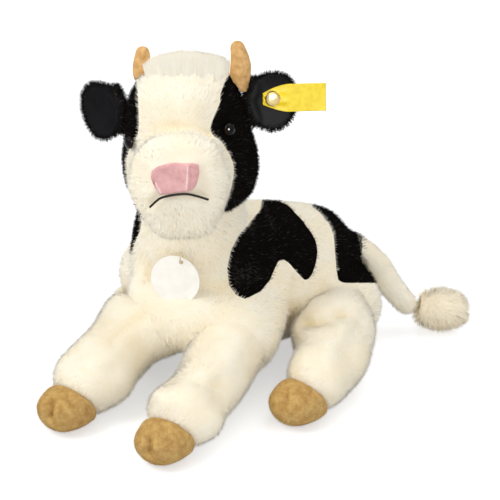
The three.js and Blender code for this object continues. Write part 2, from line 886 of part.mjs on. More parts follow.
// Forelock: a long-piled crown panel between the horns
const forelockShares = [
  [-0.27, 0.27],
  [-0.15, 0.22],
  [0, 0.2],
  [0.15, 0.22],
  [0.33, 0.27],
  [0.36, 0.4],
  [0.24, 0.56],
  [-0.2, 0.56],
  [-0.29, 0.4],
];
const crownBack = frontView.clone().setPosition(0, 0.35 * forelockReach, 0);
const crown = outlinePrism(forelockShares.map(frontPlace), forelockReach, crownBack);
let forelock = skullForm(forelockDepth).subtract(grownHead).intersect(crown);
forelock = forelock.subtract(horns.left(seamGap)).subtract(horns.right(seamGap));
addMesh(headGroup, "forelock", toGeometry(whole(forelock)), "cream");

addMesh(headGroup, "head_cover", toGeometry(whole(headCover)), "cream");
addMesh(headGroup, "head_filling", toGeometry(whole(headFilling)), "filling");

// Ears: two sewn leaves, cupped forward above and below, that flap about the seam at the head

const earRoot = { left: vector(0.445 * headWidth, 0.03 * headDepth, 0.065 * headHeight) };
earRoot.right = earRoot.left.clone().multiply(vector(-1, 1, 1));

function earCurve(height) {
  return -earCup * Math.abs(height / (earHeight / 2)) ** 3;
}

// One leaf between the cupped middle sheet and a side that bulges from it to the front or the back
function earLeafSolid(sign, facing, grow) {
  const around = 18;
  const ringAt = (share, bulge) => {
    const ring = [];
    for (let i = 0; i < around; i += 1) {
      const angle = (2 * Math.PI * i) / around;
      const out = earLength / 2 + share * (earLength / 2 + grow) * Math.cos(angle);
      const height = share * (earHeight / 2 + grow) * Math.sin(angle);
      const offset = facing * (seamGap / 2 + bulge);
      ring.push(vector(sign * out, earCurve(height) + offset, height));
    }
    return ring;
  };
  const bulgeShares = [[0.45, 1], [0.8, 0.85], [1, 0.35]];
  const outer = bulgeShares.map(([share, bulge]) => ringAt(share, bulge * earLeaf + grow));
  const inner = bulgeShares.map(([share]) => ringAt(share, -grow)).reverse();
  const middle = sign * (earLength / 2);
  const outerPole = vector(middle, facing * (seamGap / 2 + earLeaf + grow), 0);
  const innerPole = vector(middle, facing * (seamGap / 2 - grow), 0);
  return toSolid(loft([...outer, ...inner], outerPole, innerPole));
}

const earGroups = {};
const buttonShares = [0.5, 0.045];
for (const [side, sign] of Object.entries(sides)) {
  const earGroup = new THREE.Group();
  earGroup.position.copy(earRoot[side]);
  earGroup.rotation.set(
    0,
    THREE.MathUtils.degToRad(sign * earDroop),
    THREE.MathUtils.degToRad(sign * earSweep),
    "ZYX",
  );
  earGroup.updateMatrix();
  headGroup.add(earGroup);
  earGroups[side] = earGroup;
  const away = earGroup.matrix.clone().invert();
  const headAside = moved(skullForm(earSwingGap), away);
  const hornAside = moved(horns[side](earSwingGap), away);
  for (const [leaf, facing] of [["back", 1], ["lining", -1]]) {
    let solid = earLeafSolid(sign, facing, 0).subtract(headAside).subtract(hornAside);
    if (side === "left") {
      const centre = vector(buttonShares[0] * earLength, 0, buttonShares[1] * earHeight);
      const reach = vector(0, 4 * earLeaf, 0);
      solid = solid.subtract(bar(centre.clone().sub(reach), centre.clone().add(reach), rivetRadius + seamGap));
    }
    addMesh(earGroup, `ear_${side}_${leaf}`, toGeometry(whole(solid)), "black");
  }
}

// The button: a domed brass head on a rivet, which clamps the label against the lining
const labelBack = -seamGap / 2 - earLeaf - seamGap;
const buttonSeat = vector(
  buttonShares[0] * earLength,
  labelBack - labelThickness - seamGap,
  buttonShares[1] * earHeight,
);
const rivetLength = 2 * earLeaf + labelThickness + 3 * seamGap + rivetPlateThickness + seamGap;
const buttonDome = [0, 0.4, 0.7, 0.9].map((share) => {
  const angle = (share * Math.PI) / 2;
  return [buttonRadius * Math.sin(angle), buttonHeight * Math.cos(angle)];
});
const buttonProfile = [
  ...buttonDome,
  [buttonRadius, 0],
  [rivetRadius, 0],
  [rivetRadius, -rivetLength],
  [0, -rivetLength],
];
addMesh(earGroups.left, "ear_button", toGeometry(lathed(buttonProfile, buttonSeat, ahead, 16)), "brass", 0.3, 1);
const plateSeat = buttonSeat.clone().setY(seamGap / 2 + earLeaf + seamGap + rivetPlateThickness);
const plateProfile = [
  [rivetRadius + seamGap, 0],
  [rivetPlateRadius, 0],
  [rivetPlateRadius, rivetPlateThickness],
  [rivetRadius + seamGap, rivetPlateThickness],
  [rivetRadius + seamGap, 0],
];
addMesh(earGroups.left, "rivet_plate", toGeometry(lathed(plateProfile, plateSeat, ahead, 14)), "brass", 0.4, 1);

// The label: a folded ribbon, gathered behind the button and lifted over the rim of the ear.
// Along it: reach past the button in label lengths, half width in label widths, lift in ear cups.
const labelShares = [
  [-0.19, 0.2, 0],
  [-0.12, 0.27, 0],
  [0.14, 0.28, 0.04],
  [0.24, 0.4, 0.2],
  [0.36, 0.49, 0.36],
  [0.6, 0.5, 0.64],
  [1, 0.5, 1],
];
const labelRings = labelShares.map(([along, half, lift]) => {
  const out = buttonSeat.x + along * labelLength;
  const back = labelBack - lift * earCup;
  const [low, high] = [buttonSeat.z - half * labelWidth, buttonSeat.z + half * labelWidth];
  return [
    vector(out, back, low),
    vector(out, back, high),
    vector(out, back - labelThickness, high),
    vector(out, back - labelThickness, low),
  ];
});
const ringCentre = (ring) => ring.reduce((sum, point) => sum.add(point), vector(0, 0, 0)).divideScalar(ring.length);
const labelSheet = toSolid(loft(labelRings, ringCentre(labelRings[0]), ringCentre(labelRings[labelRings.length - 1])));
const labelHoleStart = buttonSeat.clone().add(vector(0, -labelThickness, 0));
const labelHoleEnd = buttonSeat.clone().setY(0);
const labelHole = bar(labelHoleStart, labelHoleEnd, rivetRadius + seamGap);
addMesh(earGroups.left, "ear_label", toGeometry(labelSheet.subtract(labelHole)), "label", 0.7);

// Chest tag: a card disc that hangs by a thread loop through a hole near its rim

const torsoSkin = new THREE.Mesh(toGeometry(torsoOuter));
const tagTurn = 24;
const tagLean = 17;
const tagTilt = 5;
const tagOff = tagThreadLoop + tagThreadRadius + 4 * seatGap;
const tagSight = placed(chestCentre, tagTurn, bodyLength, 0.02 * bodyWidth, 0.83 * bodyHeight);
const tagPlace = surfaceAt(torsoSkin, tagSight, heading(tagTurn).negate());
const tagGroup = new THREE.Group();
const tagFacing = heading(tagTurn).setZ(Math.tan(THREE.MathUtils.degToRad(tagTilt))).normalize();
const tagUp = up.clone().addScaledVector(tagFacing, -up.dot(tagFacing)).normalize();
const tagLeft = tagUp.clone().cross(tagFacing);
tagGroup.applyMatrix4(
  new THREE.Matrix4().makeBasis(tagLeft, tagUp, tagFacing)
    .setPosition(tagPlace.point.clone().addScaledVector(tagFacing, tagOff)),
);
group.add(tagGroup);

const lean = THREE.MathUtils.degToRad(tagLean);
const holeReach = tagRadius - tagHoleInset;
const holePlace = vector(holeReach * Math.sin(lean), holeReach * Math.cos(lean), 0);
const tagShape = new THREE.Shape().absarc(0, 0, tagRadius, 0, 2 * Math.PI);
tagShape.holes.push(new THREE.Path().absarc(holePlace.x, holePlace.y, tagHoleRadius, 0, 2 * Math.PI));
const tagGeometry = new THREE.ExtrudeGeometry(tagShape, {
  depth: tagThickness,
  bevelEnabled: false,
  curveSegments: 16,
});
addMesh(tagGroup, "chest_tag", tagGeometry, "card", 0.6);

const loopGeometry = new THREE.TorusGeometry(tagThreadLoop, tagThreadRadius, 6, 14);
loopGeometry.rotateY(Math.PI / 2);
loopGeometry.translate(holePlace.x, holePlace.y + tagThreadLoop, tagThickness / 2);
addMesh(tagGroup, "tag_thread", loopGeometry, "felt", 0.8);

export default group;
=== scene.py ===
"""A plush cow lying on its belly: cream and black pile, felt horns, velour hooves, ear button and tags."""

import json
import math

import bmesh
import bpy
import numpy as np
from mathutils import Matrix, Vector
from mathutils.bvhtree import BVHTree


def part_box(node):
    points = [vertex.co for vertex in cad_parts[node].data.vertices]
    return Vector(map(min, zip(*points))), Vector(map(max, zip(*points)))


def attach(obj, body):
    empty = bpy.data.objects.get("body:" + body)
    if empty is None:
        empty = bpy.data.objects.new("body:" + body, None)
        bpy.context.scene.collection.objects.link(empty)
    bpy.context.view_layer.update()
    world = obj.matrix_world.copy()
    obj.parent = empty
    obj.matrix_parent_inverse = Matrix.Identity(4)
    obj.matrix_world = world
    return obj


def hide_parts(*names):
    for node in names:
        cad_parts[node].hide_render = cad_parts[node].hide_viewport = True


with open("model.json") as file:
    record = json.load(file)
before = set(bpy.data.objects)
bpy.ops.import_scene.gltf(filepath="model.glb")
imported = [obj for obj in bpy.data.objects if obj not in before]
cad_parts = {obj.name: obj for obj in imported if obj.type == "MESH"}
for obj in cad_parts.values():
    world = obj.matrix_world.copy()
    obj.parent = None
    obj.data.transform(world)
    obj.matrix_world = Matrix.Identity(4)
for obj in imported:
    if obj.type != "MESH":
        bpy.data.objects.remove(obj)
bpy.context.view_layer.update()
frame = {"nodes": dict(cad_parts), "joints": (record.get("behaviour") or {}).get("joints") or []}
nodes = frame["nodes"]
joints = {joint["name"]: joint for joint in frame["joints"]}
MM = 0.001
LEGS = ("front_right", "front_left", "hind_left", "hind_right")


# Places and frames


def mm(*values):
    return Vector(values) * MM


def joint_place(name):
    return Vector(joints[name]["pos_m"])


def heading(turn):
    return Vector((math.sin(math.radians(turn)), -math.cos(math.radians(turn)), 0))


def left_of(turn):
    return Vector((math.cos(math.radians(turn)), math.sin(math.radians(turn)), 0))


def turned(x=0, y=0, z=0):
    """A turn about Z after one about X after one about Y, in degrees."""
    return (
        Matrix.Rotation(math.radians(z), 4, "Z")
        @ Matrix.Rotation(math.radians(x), 4, "X")
        @ Matrix.Rotation(math.radians(y), 4, "Y")
    )


def in_frame(matrix, points):
    """Points in metres as places in a frame, in mm."""
    return (np.c_[points, np.ones(len(points))] @ np.array(matrix.inverted()).T)[:, :3] / MM


def from_frame(matrix, vectors):
    """Directions in a frame as directions in the world."""
    return vectors @ np.array(matrix.to_3x3()).T


HEAD_TURN = 32.5
HEAD_LIFT = 8
HEAD_TILT = 6
HEAD_FORWARD = 5.1
HEAD_RIGHT = 3.5
HEAD_UP = 41.3
NECK_TOP = joint_place("neck_turn")
HEAD_AHEAD = NECK_TOP + heading(HEAD_TURN) * HEAD_FORWARD * MM
HEAD_MIDDLE = HEAD_AHEAD - left_of(HEAD_TURN) * HEAD_RIGHT * MM + mm(0, 0, HEAD_UP)
HEAD = Matrix.Translation(HEAD_MIDDLE) @ turned(x=-HEAD_LIFT, y=-HEAD_TILT, z=HEAD_TURN)
EAR_SWEEP = 22
EAR_DROOP = 4
SIGNS = {"left": 1, "right": -1}
EARS = {}
for side, sign in SIGNS.items():
    place = Matrix.Translation(HEAD.inverted() @ joint_place(f"ear_{side}_flex"))
    EARS[side] = HEAD @ place @ turned(z=sign * EAR_SWEEP) @ turned(y=sign * EAR_DROOP)


# Camera

IMAGE = 500
CAMERA_AZIMUTH = math.radians(40)
CAMERA_ELEVATION = math.radians(25)
CAMERA_DISTANCE = 1.25
CAMERA_TARGET = mm(0, 0, 70)
LENS = 166.5
SENSOR = 36
SHIFT_X = 0.002
SHIFT_Y = -0.04
CAMERA_BACK = Vector((
    math.sin(CAMERA_AZIMUTH) * math.cos(CAMERA_ELEVATION),
    -math.cos(CAMERA_AZIMUTH) * math.cos(CAMERA_ELEVATION),
    math.sin(CAMERA_ELEVATION),
))
CAMERA_RIGHT = Vector((math.cos(CAMERA_AZIMUTH), math.sin(CAMERA_AZIMUTH), 0))
CAMERA_UP = CAMERA_BACK.cross(CAMERA_RIGHT)


def camera():
    data = bpy.data.cameras.new("camera")
    data.lens = LENS
    data.sensor_width = SENSOR
    data.shift_x = SHIFT_X
    data.shift_y = SHIFT_Y
    data.clip_end = 50
    view = bpy.data.objects.new("camera", data)
    view.location = CAMERA_TARGET + CAMERA_BACK * CAMERA_DISTANCE
    view.rotation_euler = (-CAMERA_BACK).to_track_quat("-Z", "Y").to_euler()
    bpy.context.scene.collection.objects.link(view)
    bpy.context.scene.camera = view


def seen(tree, pixels):
    """The places on a form that lie behind pixels of the photograph, in mm."""
    start = CAMERA_TARGET + CAMERA_BACK * CAMERA_DISTANCE
    places = []
    for x, y in pixels:
        across = (x / IMAGE - 0.5 + SHIFT_X) * SENSOR / LENS
        rise = (0.5 - y / IMAGE + SHIFT_Y) * SENSOR / LENS
        hit = tree.ray_cast(start, (CAMERA_RIGHT * across + CAMERA_UP * rise - CAMERA_BACK).normalized())[0]
        if hit:
            places.append(np.array(hit) / MM)
    return places


# Materials


def plain(name, colour, roughness, **sockets):
    material = bpy.data.materials.new(name)
    material.use_nodes = True
    shader = material.node_tree.nodes["Principled BSDF"]
    shader.inputs["Base Color"].default_value = (*colour, 1)
    shader.inputs["Roughness"].default_value = roughness
    for socket, value in sockets.items():
        shader.inputs[socket.replace("_", " ")].default_value = value
    return material


NOISE_ROUGHNESS = 0.6
NAP_STRENGTH = 0.6
TONE_STOPS = (0.35, 0.65)


def noise_node(tree, scale, detail=3.0):
    coordinates = tree.nodes.new("ShaderNodeTexCoord")
    noise = tree.nodes.new("ShaderNodeTexNoise")
    noise.inputs["Scale"].default_value = scale
    noise.inputs["Detail"].default_value = detail
    noise.inputs["Roughness"].default_value = NOISE_ROUGHNESS
    tree.links.new(coordinates.outputs["Object"], noise.inputs["Vector"])
    return noise


def cloth(name, dark, light, scale, bump_scale, bump_mm, roughness=0.9, **sockets):
    """A cloth whose colour wanders between two tones, with a nap. The scales are those of the noise."""
    material = plain(name, light, roughness, **{"Specular_IOR_Level": 0.08, **sockets})
    tree = material.node_tree
    shader = tree.nodes["Principled BSDF"]
    ramp = tree.nodes.new("ShaderNodeValToRGB")
    for element, position, colour in zip(ramp.color_ramp.elements, TONE_STOPS, (dark, light)):
        element.position = position
        element.color = (*colour, 1)
    tree.links.new(noise_node(tree, scale).outputs["Fac"], ramp.inputs["Fac"])
    tree.links.new(ramp.outputs["Color"], shader.inputs["Base Color"])
    bump = tree.nodes.new("ShaderNodeBump")
    bump.inputs["Strength"].default_value = NAP_STRENGTH
    bump.inputs["Distance"].default_value = bump_mm * MM
    nap = noise_node(tree, bump_scale, detail=2.0)
    tree.links.new(nap.outputs["Fac"], bump.inputs["Height"])
    tree.links.new(bump.outputs["Normal"], shader.inputs["Normal"])
    return material


def tints(name, colours, roughness, gloss, sheen=0.0):
    """One plain material for each tint of a pile."""
    return [
        plain(f"{name}_{letter}", colour, roughness, Specular_IOR_Level=gloss, Sheen_Weight=sheen)
        for letter, colour in zip("abcd", colours)
    ]


CREAM = (0.92, 0.855, 0.7)
CREAM_LIGHT = (0.94, 0.895, 0.77)
CREAM_DEEP = (0.9, 0.8, 0.6)
# Caramel is painted shade: creases and undersides take it
PAINTED_SHADE_CARAMEL = (0.86, 0.71, 0.43)
BLACK = (0.0045, 0.0038, 0.0034)


def attribute(tree, name):
    node = tree.nodes.new("ShaderNodeAttribute")
    node.attribute_name = name
    return node.outputs["Fac"]


def mixed(tree, factor, first, second):
    """A colour between two, each a socket or three numbers."""
    mix = tree.nodes.new("ShaderNodeMix")
    mix.data_type = "RGBA"
    tree.links.new(factor, mix.inputs["Factor"])
    for socket, colour in (("A", first), ("B", second)):
        slot = [entry for entry in mix.inputs if entry.name == socket and entry.type == "RGBA"][0]
        if isinstance(colour, tuple):
            slot.default_value = (*colour, 1)
        else:
            tree.links.new(colour, slot)
    return [entry for entry in mix.outputs if entry.type == "RGBA"][0]


def maths(tree, operation, first, second):
    """One step of arithmetic on a socket and a socket or a number."""
    step = tree.nodes.new("ShaderNodeMath")
    step.operation = operation
    tree.links.new(first, step.inputs[0])
    if isinstance(second, (int, float)):
        step.inputs[1].default_value = second
    else:
        tree.links.new(second, step.inputs[1])
    return step.outputs[0]


def plush_ground():
    """The knitted back of the pile: cream with painted warm shade in its creases, and black where a panel
    is let in.
    """
    material = cloth("plush_ground", CREAM_DEEP, CREAM, 60, 2200, 0.3, Specular_IOR_Level=0.0)
    tree = material.node_tree
    shader = tree.nodes["Principled BSDF"]
    cream = shader.inputs["Base Color"].links[0].from_socket
    # Painted shade: the ground turns caramel in creases
    crease_shaded = mixed(tree, attribute(tree, "painted_crease_shade"), cream, PAINTED_SHADE_CARAMEL)
    edge = maths(tree, "GREATER_THAN", attribute(tree, "panel"), 0)
    tree.links.new(mixed(tree, edge, crease_shaded, BLACK), shader.inputs["Base Color"])
    return material


cream_ground = plush_ground()
ear_lining = cloth(
    "ear_lining", (0.0015, 0.0015, 0.002), (0.0045, 0.0045, 0.0055), 120, 1500, 0.25, roughness=0.7,
    Specular_IOR_Level=0.05,
)
# Deep cream and caramel fall mostly to fibres in creases and underneath: painted shade
CREAM_TINTS = [CREAM_LIGHT, CREAM, CREAM_DEEP, PAINTED_SHADE_CARAMEL]
# The third black is lighter: painted glints, on scattered fibres and on those in creases and underneath
BLACK_AND_PAINTED_GLINT_TINTS = [BLACK, (0.012, 0.01, 0.009), (0.05, 0.045, 0.04)]
TUFT_TINTS = [(0.95, 0.87, 0.69), (0.9, 0.77, 0.55), (0.78, 0.61, 0.38)]
TAN_TINTS = [(0.72, 0.55, 0.26), (0.6, 0.39, 0.13), (0.45, 0.24, 0.06), (0.24, 0.12, 0.03)]
cream_pile = tints("cream_pile", CREAM_TINTS, roughness=0.85, gloss=0.05, sheen=0.35)
black_pile = tints("black_pile", BLACK_AND_PAINTED_GLINT_TINTS, roughness=0.8, gloss=0.0)
tuft_pile = tints("tuft_pile", TUFT_TINTS, roughness=0.8, gloss=0.1)
tan_pile = tints("tan_pile", TAN_TINTS, roughness=0.7, gloss=0.15)
velour = cloth("hoof_velour", (0.4, 0.22, 0.06), (0.56, 0.36, 0.12), 260, 2600, 0.35)
felt = cloth("horn_felt", (0.5, 0.27, 0.09), (0.72, 0.44, 0.18), 260, 1800, 0.35)
pink = cloth("nose_velour", (0.6, 0.3, 0.3), (0.74, 0.42, 0.41), 170, 3000, 0.15, Sheen_Weight=0.3)
# Paler pink for painted highlights on the nose's ridges, deeper pink for painted shade in its groove
pink_painted_highlight = cloth("nose_velour_painted_highlight", (0.78, 0.5, 0.5), (0.88, 0.66, 0.64), 300, 3000, 0.15)
pink_painted_shade = cloth("nose_velour_painted_shade", (0.42, 0.15, 0.14), (0.6, 0.28, 0.27), 300, 3000, 0.15)
thread_black = cloth("mouth_thread_black", (0.01, 0.008, 0.007), (0.03, 0.025, 0.022), 900, 3000, 0.1)
thread_cream = cloth("tag_thread_cream", (0.6, 0.5, 0.32), (0.8, 0.72, 0.52), 900, 3000, 0.1)


# Skins: the cloth under the pile, made from the forms in the frame


def mesh_arrays(mesh):
    places = np.empty(len(mesh.vertices) * 3)
    mesh.vertices.foreach_get("co", places)
    mesh.calc_loop_triangles()
    corners = np.empty(len(mesh.loop_triangles) * 3, dtype=np.int64)
    mesh.loop_triangles.foreach_get("vertices", corners)
    return places.reshape(-1, 3), corners.reshape(-1, 3)


def vertex_normals(mesh):
    normals = np.empty(len(mesh.vertices) * 3)
    mesh.vertex_normals.foreach_get("vector", normals)
    return normals.reshape(-1, 3)


def set_places(mesh, places):
    mesh.vertices.foreach_set("co", places.astype(np.float32).ravel())
    mesh.update()


def neighbours(mesh):
    edges = np.empty(len(mesh.edges) * 2, dtype=np.int64)
    mesh.edges.foreach_get("vertices", edges)
    return edges.reshape(-1, 2)


RELAX_SHARE = 0.5
FLOOR_GAP = 0.6


def relaxed(values, edges, rounds):
    """Each value moves towards the mean of its neighbours' values."""
    first, second = edges[:, 0], edges[:, 1]
    size = len(values)
    count = np.maximum(np.bincount(edges.ravel(), minlength=size), 1)
    flat = values.reshape(size, -1)
    for _ in range(rounds):
        total = np.array([
            np.bincount(first, column[second], size) + np.bincount(second, column[first], size)
            for column in flat.T
        ])
        flat = flat + RELAX_SHARE * (total.T / count[:, None] - flat)
    return flat.reshape(values.shape)


def tree_of(mesh):
    places, corners = mesh_arrays(mesh)
    return BVHTree.FromPolygons(places.tolist(), corners.tolist())


def node_tree(*names):
    places, corners, offset = [], [], 0
    for name in names:
        these, triangles = mesh_arrays(nodes[name].data)
        places.append(these)
        corners.append(triangles + offset)
        offset += len(these)
    return BVHTree.FromPolygons(np.concatenate(places).tolist(), np.concatenate(corners).tolist())


def mesh_from(form, name):
    mesh = bpy.data.meshes.new(name)
    form.to_mesh(mesh)
    form.free()
    return mesh


def add_object(name, mesh, materials=()):
    obj = bpy.data.objects.new(name, mesh)
    bpy.context.scene.collection.objects.link(obj)
    for material in materials:
        mesh.materials.append(material)
    return obj


def remeshed(name, sources, balls, voxel):
    """One closed mesh around the source nodes and any balls, with even faces."""
    form = bmesh.new()
    for source in sources:
        form.from_mesh(nodes[source].data)
    for place, radius in balls:
        matrix = Matrix.Translation(place)
        bmesh.ops.create_icosphere(form, subdivisions=4, radius=radius * MM, matrix=matrix)
    mesh = mesh_from(form, name)
    rough = add_object(name, mesh)
    remesh = rough.modifiers.new("even_faces", "REMESH")
    remesh.mode = "VOXEL"
    remesh.voxel_size = voxel
    bpy.context.view_layer.update()
    graph = bpy.context.evaluated_depsgraph_get()
    even = bpy.data.meshes.new_from_object(rough.evaluated_get(graph))
    bpy.data.objects.remove(rough)
    bpy.data.meshes.remove(mesh)
    even.materials.clear()
    return even


def line_gaps(points, line):
    """How far each point is from a line of places."""
    line = np.asarray(line, dtype=float)
    if len(line) == 1:
        return np.linalg.norm(points - line[0], axis=1)
    gaps = np.full(len(points), np.inf)
    for start, end in zip(line, line[1:]):
        along = end - start
        share = np.clip((points - start) @ along / (along @ along), 0, 1)
        gaps = np.minimum(gaps, np.linalg.norm(points - start - share[:, None] * along, axis=1))
    return gaps


def above_floor(places):
    places[:, 2] = np.maximum(places[:, 2], FLOOR_GAP * MM)
    return places


def fold(mesh, folds, photo_folds):
    """Rolls and grooves: (places, width, height) in mm, or with pixels of the photograph for places."""
    places, _ = mesh_arrays(mesh)
    tree = tree_of(mesh)
    lines = list(folds)
    lines += [(seen(tree, pixels), width, height) for pixels, width, height in photo_folds]
    shift = np.zeros(len(places))
    for line, width, height in lines:
        if len(line):
            shift += height * np.exp(-((line_gaps(places / MM, line) / width) ** 2))
    set_places(mesh, above_floor(places + vertex_normals(mesh) * shift[:, None] * MM))


CREASE_START = 0.08
CREASE_SPAN = 0.9


def hollows(mesh):
    """For each vertex from 0 to 1, how deep it lies in a crease."""
    places, _ = mesh_arrays(mesh)
    smooth = relaxed(places, neighbours(mesh), rounds=24)
    rise = np.sum((smooth - places) * vertex_normals(mesh), axis=1) / MM
    return relaxed(np.clip((rise - CREASE_START) / CREASE_SPAN, 0, 1), neighbours(mesh), rounds=4)


def note(mesh, name, values):
    """Keeps one number for each vertex."""
    layer = mesh.attributes.new(name, "FLOAT", "POINT")
    layer.data.foreach_set("value", values.astype(np.float32))


def noted(mesh, name):
    """The numbers kept under a name, or zeros where there are none."""
    values = np.zeros(len(mesh.vertices), dtype=np.float32)
    if name in mesh.attributes:
        mesh.attributes[name].data.foreach_get("value", values)
    return values


def depth_in(tree, point):
    """How far a point lies inside a closed form, negative outside it."""
    place = Vector(point)
    nearest, normal, _, distance = tree.find_nearest(place)
    return distance if (nearest - place).dot(normal) > 0 else -distance


def restored(mesh, original, edges, rounds, grow):
    """Places moved out by as far as smoothing sank them under the original, and by grow in mm."""
    smooth, _ = mesh_arrays(mesh)
    sunk = relaxed(np.array([depth_in(original, point) for point in smooth]), edges, rounds)
    return smooth + vertex_normals(mesh) * (sunk + grow * MM)[:, None]


def skin(
    name, sources, body, voxel=1.8, rounds=70, grow=1.2, balls=(), folds=(), photo_folds=(),
    replaces=None, materials=(cream_ground,),
):
    """Cloth over the source nodes and any balls: smoothed, brought back to size and folded."""
    mesh = remeshed(name, sources, balls, voxel * MM)
    edges = neighbours(mesh)
    start, _ = mesh_arrays(mesh)
    original = tree_of(mesh)
    set_places(mesh, relaxed(start, edges, rounds))
    set_places(mesh, above_floor(restored(mesh, original, edges, rounds, grow)))
    if folds or photo_folds:
        fold(mesh, folds, photo_folds)
    for polygon in mesh.polygons:
        polygon.use_smooth = True
    obj = add_object(name, mesh, materials)
    # The crease depth is kept for painted shade: it warms the ground and moves fibres to deeper tints
    note(mesh, "painted_crease_shade", hollows(mesh))
    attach(obj, body)
    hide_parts(*(sources if replaces is None else replaces))
    return obj


PANEL_LIMIT = 3


def panel_depths(mesh, patches, cover):
    """For each vertex, in mm, how much nearer a black panel is than the cover around it."""
    panel, ground = node_tree(*patches), node_tree(cover)
    places = [Vector(point) for point in mesh_arrays(mesh)[0]]
    depths = [(ground.find_nearest(place)[3] - panel.find_nearest(place)[3]) / MM for place in places]
    return relaxed(np.clip(depths, -PANEL_LIMIT, PANEL_LIMIT), neighbours(mesh), rounds=2)


def towards_camera(mesh):
    """For each vertex from -1 to 1, how squarely it faces the camera."""
    return np.sum(vertex_normals(mesh) * np.array(CAMERA_BACK), axis=1)


def pixels_of(points):
    """Where places in metres show in the photograph."""
    away = points - np.array(CAMERA_TARGET + CAMERA_BACK * CAMERA_DISTANCE)
    depth = away @ -np.array(CAMERA_BACK)
    x = (away @ np.array(CAMERA_RIGHT) / depth * LENS / SENSOR + 0.5 - SHIFT_X) * IMAGE
    y = (0.5 + SHIFT_Y - away @ np.array(CAMERA_UP) / depth * LENS / SENSOR) * IMAGE
    return np.stack([x, y], axis=1)


def outline_depths(points, outline):
    """How far inside a closed outline each point lies, negative outside it."""
    gaps = line_gaps(points, [*outline, outline[0]])
    odd = np.zeros(len(points), dtype=bool)
    for (x, y), (u, v) in zip(outline, outline[1:] + outline[:1]):
        if y != v:
            cross = (points[:, 1] < y) != (points[:, 1] < v)
            odd ^= cross & (points[:, 0] < x + (points[:, 1] - y) / (v - y) * (u - x))
    return np.where(odd, gaps, -gaps)


# Panel outlines, in pixels of the photograph, and how many mm a pixel is there
PIXEL_SIZE = 0.52
RUMP_PANEL = [
    (296, 190), (307, 190), (325, 190), (345, 200), (400, 225), (400, 283), (357.5, 283), (345, 283),
    (338.5, 281), (336.5, 270), (335, 252.5), (334, 237.5), (331, 227.5), (325, 217.5), (317.5, 210),
    (307.5, 202.5), (297.5, 197.5),
]
RUMP_LEFT = 327
SHOULDER_PANEL = [
    (262, 199), (274, 200), (286, 204), (296, 211), (304, 220), (312, 232), (318, 248), (318, 265),
    (316, 277), (310, 283), (305, 275), (299, 265), (290, 259), (279, 260), (275, 268), (270, 280),
    (260, 292), (245, 299), (236, 295), (229, 285), (227, 268), (231, 250), (239, 235), (250, 222),
    (260, 210),
]
SHOULDER_LEFT = 200
SHOULDER_RIGHT = 284
SHOULDER_TOP = 190
SHOULDER_FACING = -0.5
CHEEK_PANEL = [
    (137, 84), (138, 96), (138.5, 110), (139, 124), (138, 134), (134, 142), (129, 150), (126.5, 160),
    (126.5, 172), (128.5, 184), (132, 197), (137, 208), (144, 218), (142, 224), (100, 224), (100, 84),
]
CHEEK_RIGHT = 152
CHEEK_TOP = 84
CHEEK_FACING = 0.02


def drawn_depths(mesh, outline):
    """As panel_depths, for a panel drawn by its outline in the photograph, with each vertex's pixel."""
    pixels = pixels_of(mesh_arrays(mesh)[0])
    depths = outline_depths(pixels, outline) * PIXEL_SIZE
    return np.clip(depths, -PANEL_LIMIT, PANEL_LIMIT), pixels


def shoulder_depths(mesh):
    """The front of the left shoulder panel, which reaches down over the leg, and where it is drawn."""
    depths, pixels = drawn_depths(mesh, SHOULDER_PANEL)
    across = (pixels[:, 0] > SHOULDER_LEFT) & (pixels[:, 0] < SHOULDER_RIGHT)
    return depths, across & (pixels[:, 1] > SHOULDER_TOP) & (towards_camera(mesh) > SHOULDER_FACING)


def redraw(depths, drawn, near, far):
    """The outline sets the panel on the near side, and can only add to it on the far side."""
    depths[near] = drawn[near]
    depths[far] = np.maximum(depths, drawn)[far]


# Pile: combed fibres, each a thin spike that is closed at its foot


def sampled(obj, spacing, seed):
    """Roots spread over an object's faces: the place, the normal, and how deep in a crease and a panel."""
    mesh = obj.data
    places, corners = mesh_arrays(mesh)
    values = np.c_[places, vertex_normals(mesh), noted(mesh, "painted_crease_shade"), noted(mesh, "panel")]
    a, b, c = (places[corners[:, k]] for k in range(3))
    areas = np.linalg.norm(np.cross(b - a, c - a), axis=1) / 2
    count = int(areas.sum() / (spacing * MM) ** 2)
    random = np.random.default_rng(seed)
    spots = (np.arange(count) + random.random(count)) / count * areas.sum()
    chosen = np.searchsorted(np.cumsum(areas), spots).clip(0, len(areas) - 1)
    u, v = random.random(count), random.random(count)
    over = u + v > 1
    u[over], v[over] = 1 - u[over], 1 - v[over]
    shares = (1 - u - v, u, v)
    roots = sum(share[:, None] * values[corners[chosen, k]] for k, share in enumerate(shares))
    roots[:, 3:6] = unit(roots[:, 3:6])
    return roots


def unit(vectors):
    return vectors / np.maximum(np.linalg.norm(vectors, axis=1), 1e-12)[:, None]


WAVES = 6


def wander(points, scale, seed):
    """A smooth random vector field, made of a few waves about scale mm long."""
    random = np.random.default_rng(seed)
    field = np.zeros((len(points), 3))
    for _ in range(WAVES):
        wave = random.normal(size=3)
        wave *= 2 * math.pi / (scale * MM) / np.linalg.norm(wave)
        field += random.normal(size=3) * np.sin(points @ wave + random.random() * 2 * math.pi)[:, None]
    return field / math.sqrt(WAVES)


def inside(trees, points, depth):
    """Which points lie deeper than depth, in mm, in one of the closed forms."""
    within = [any(depth_in(tree, point) > depth * MM for tree in trees) for point in points]
    return np.array(within, dtype=bool)


def flattened(vectors, normals):
    """Vectors laid into the surface that has these normals."""
    return vectors - normals * np.sum(vectors * normals, axis=1)[:, None]


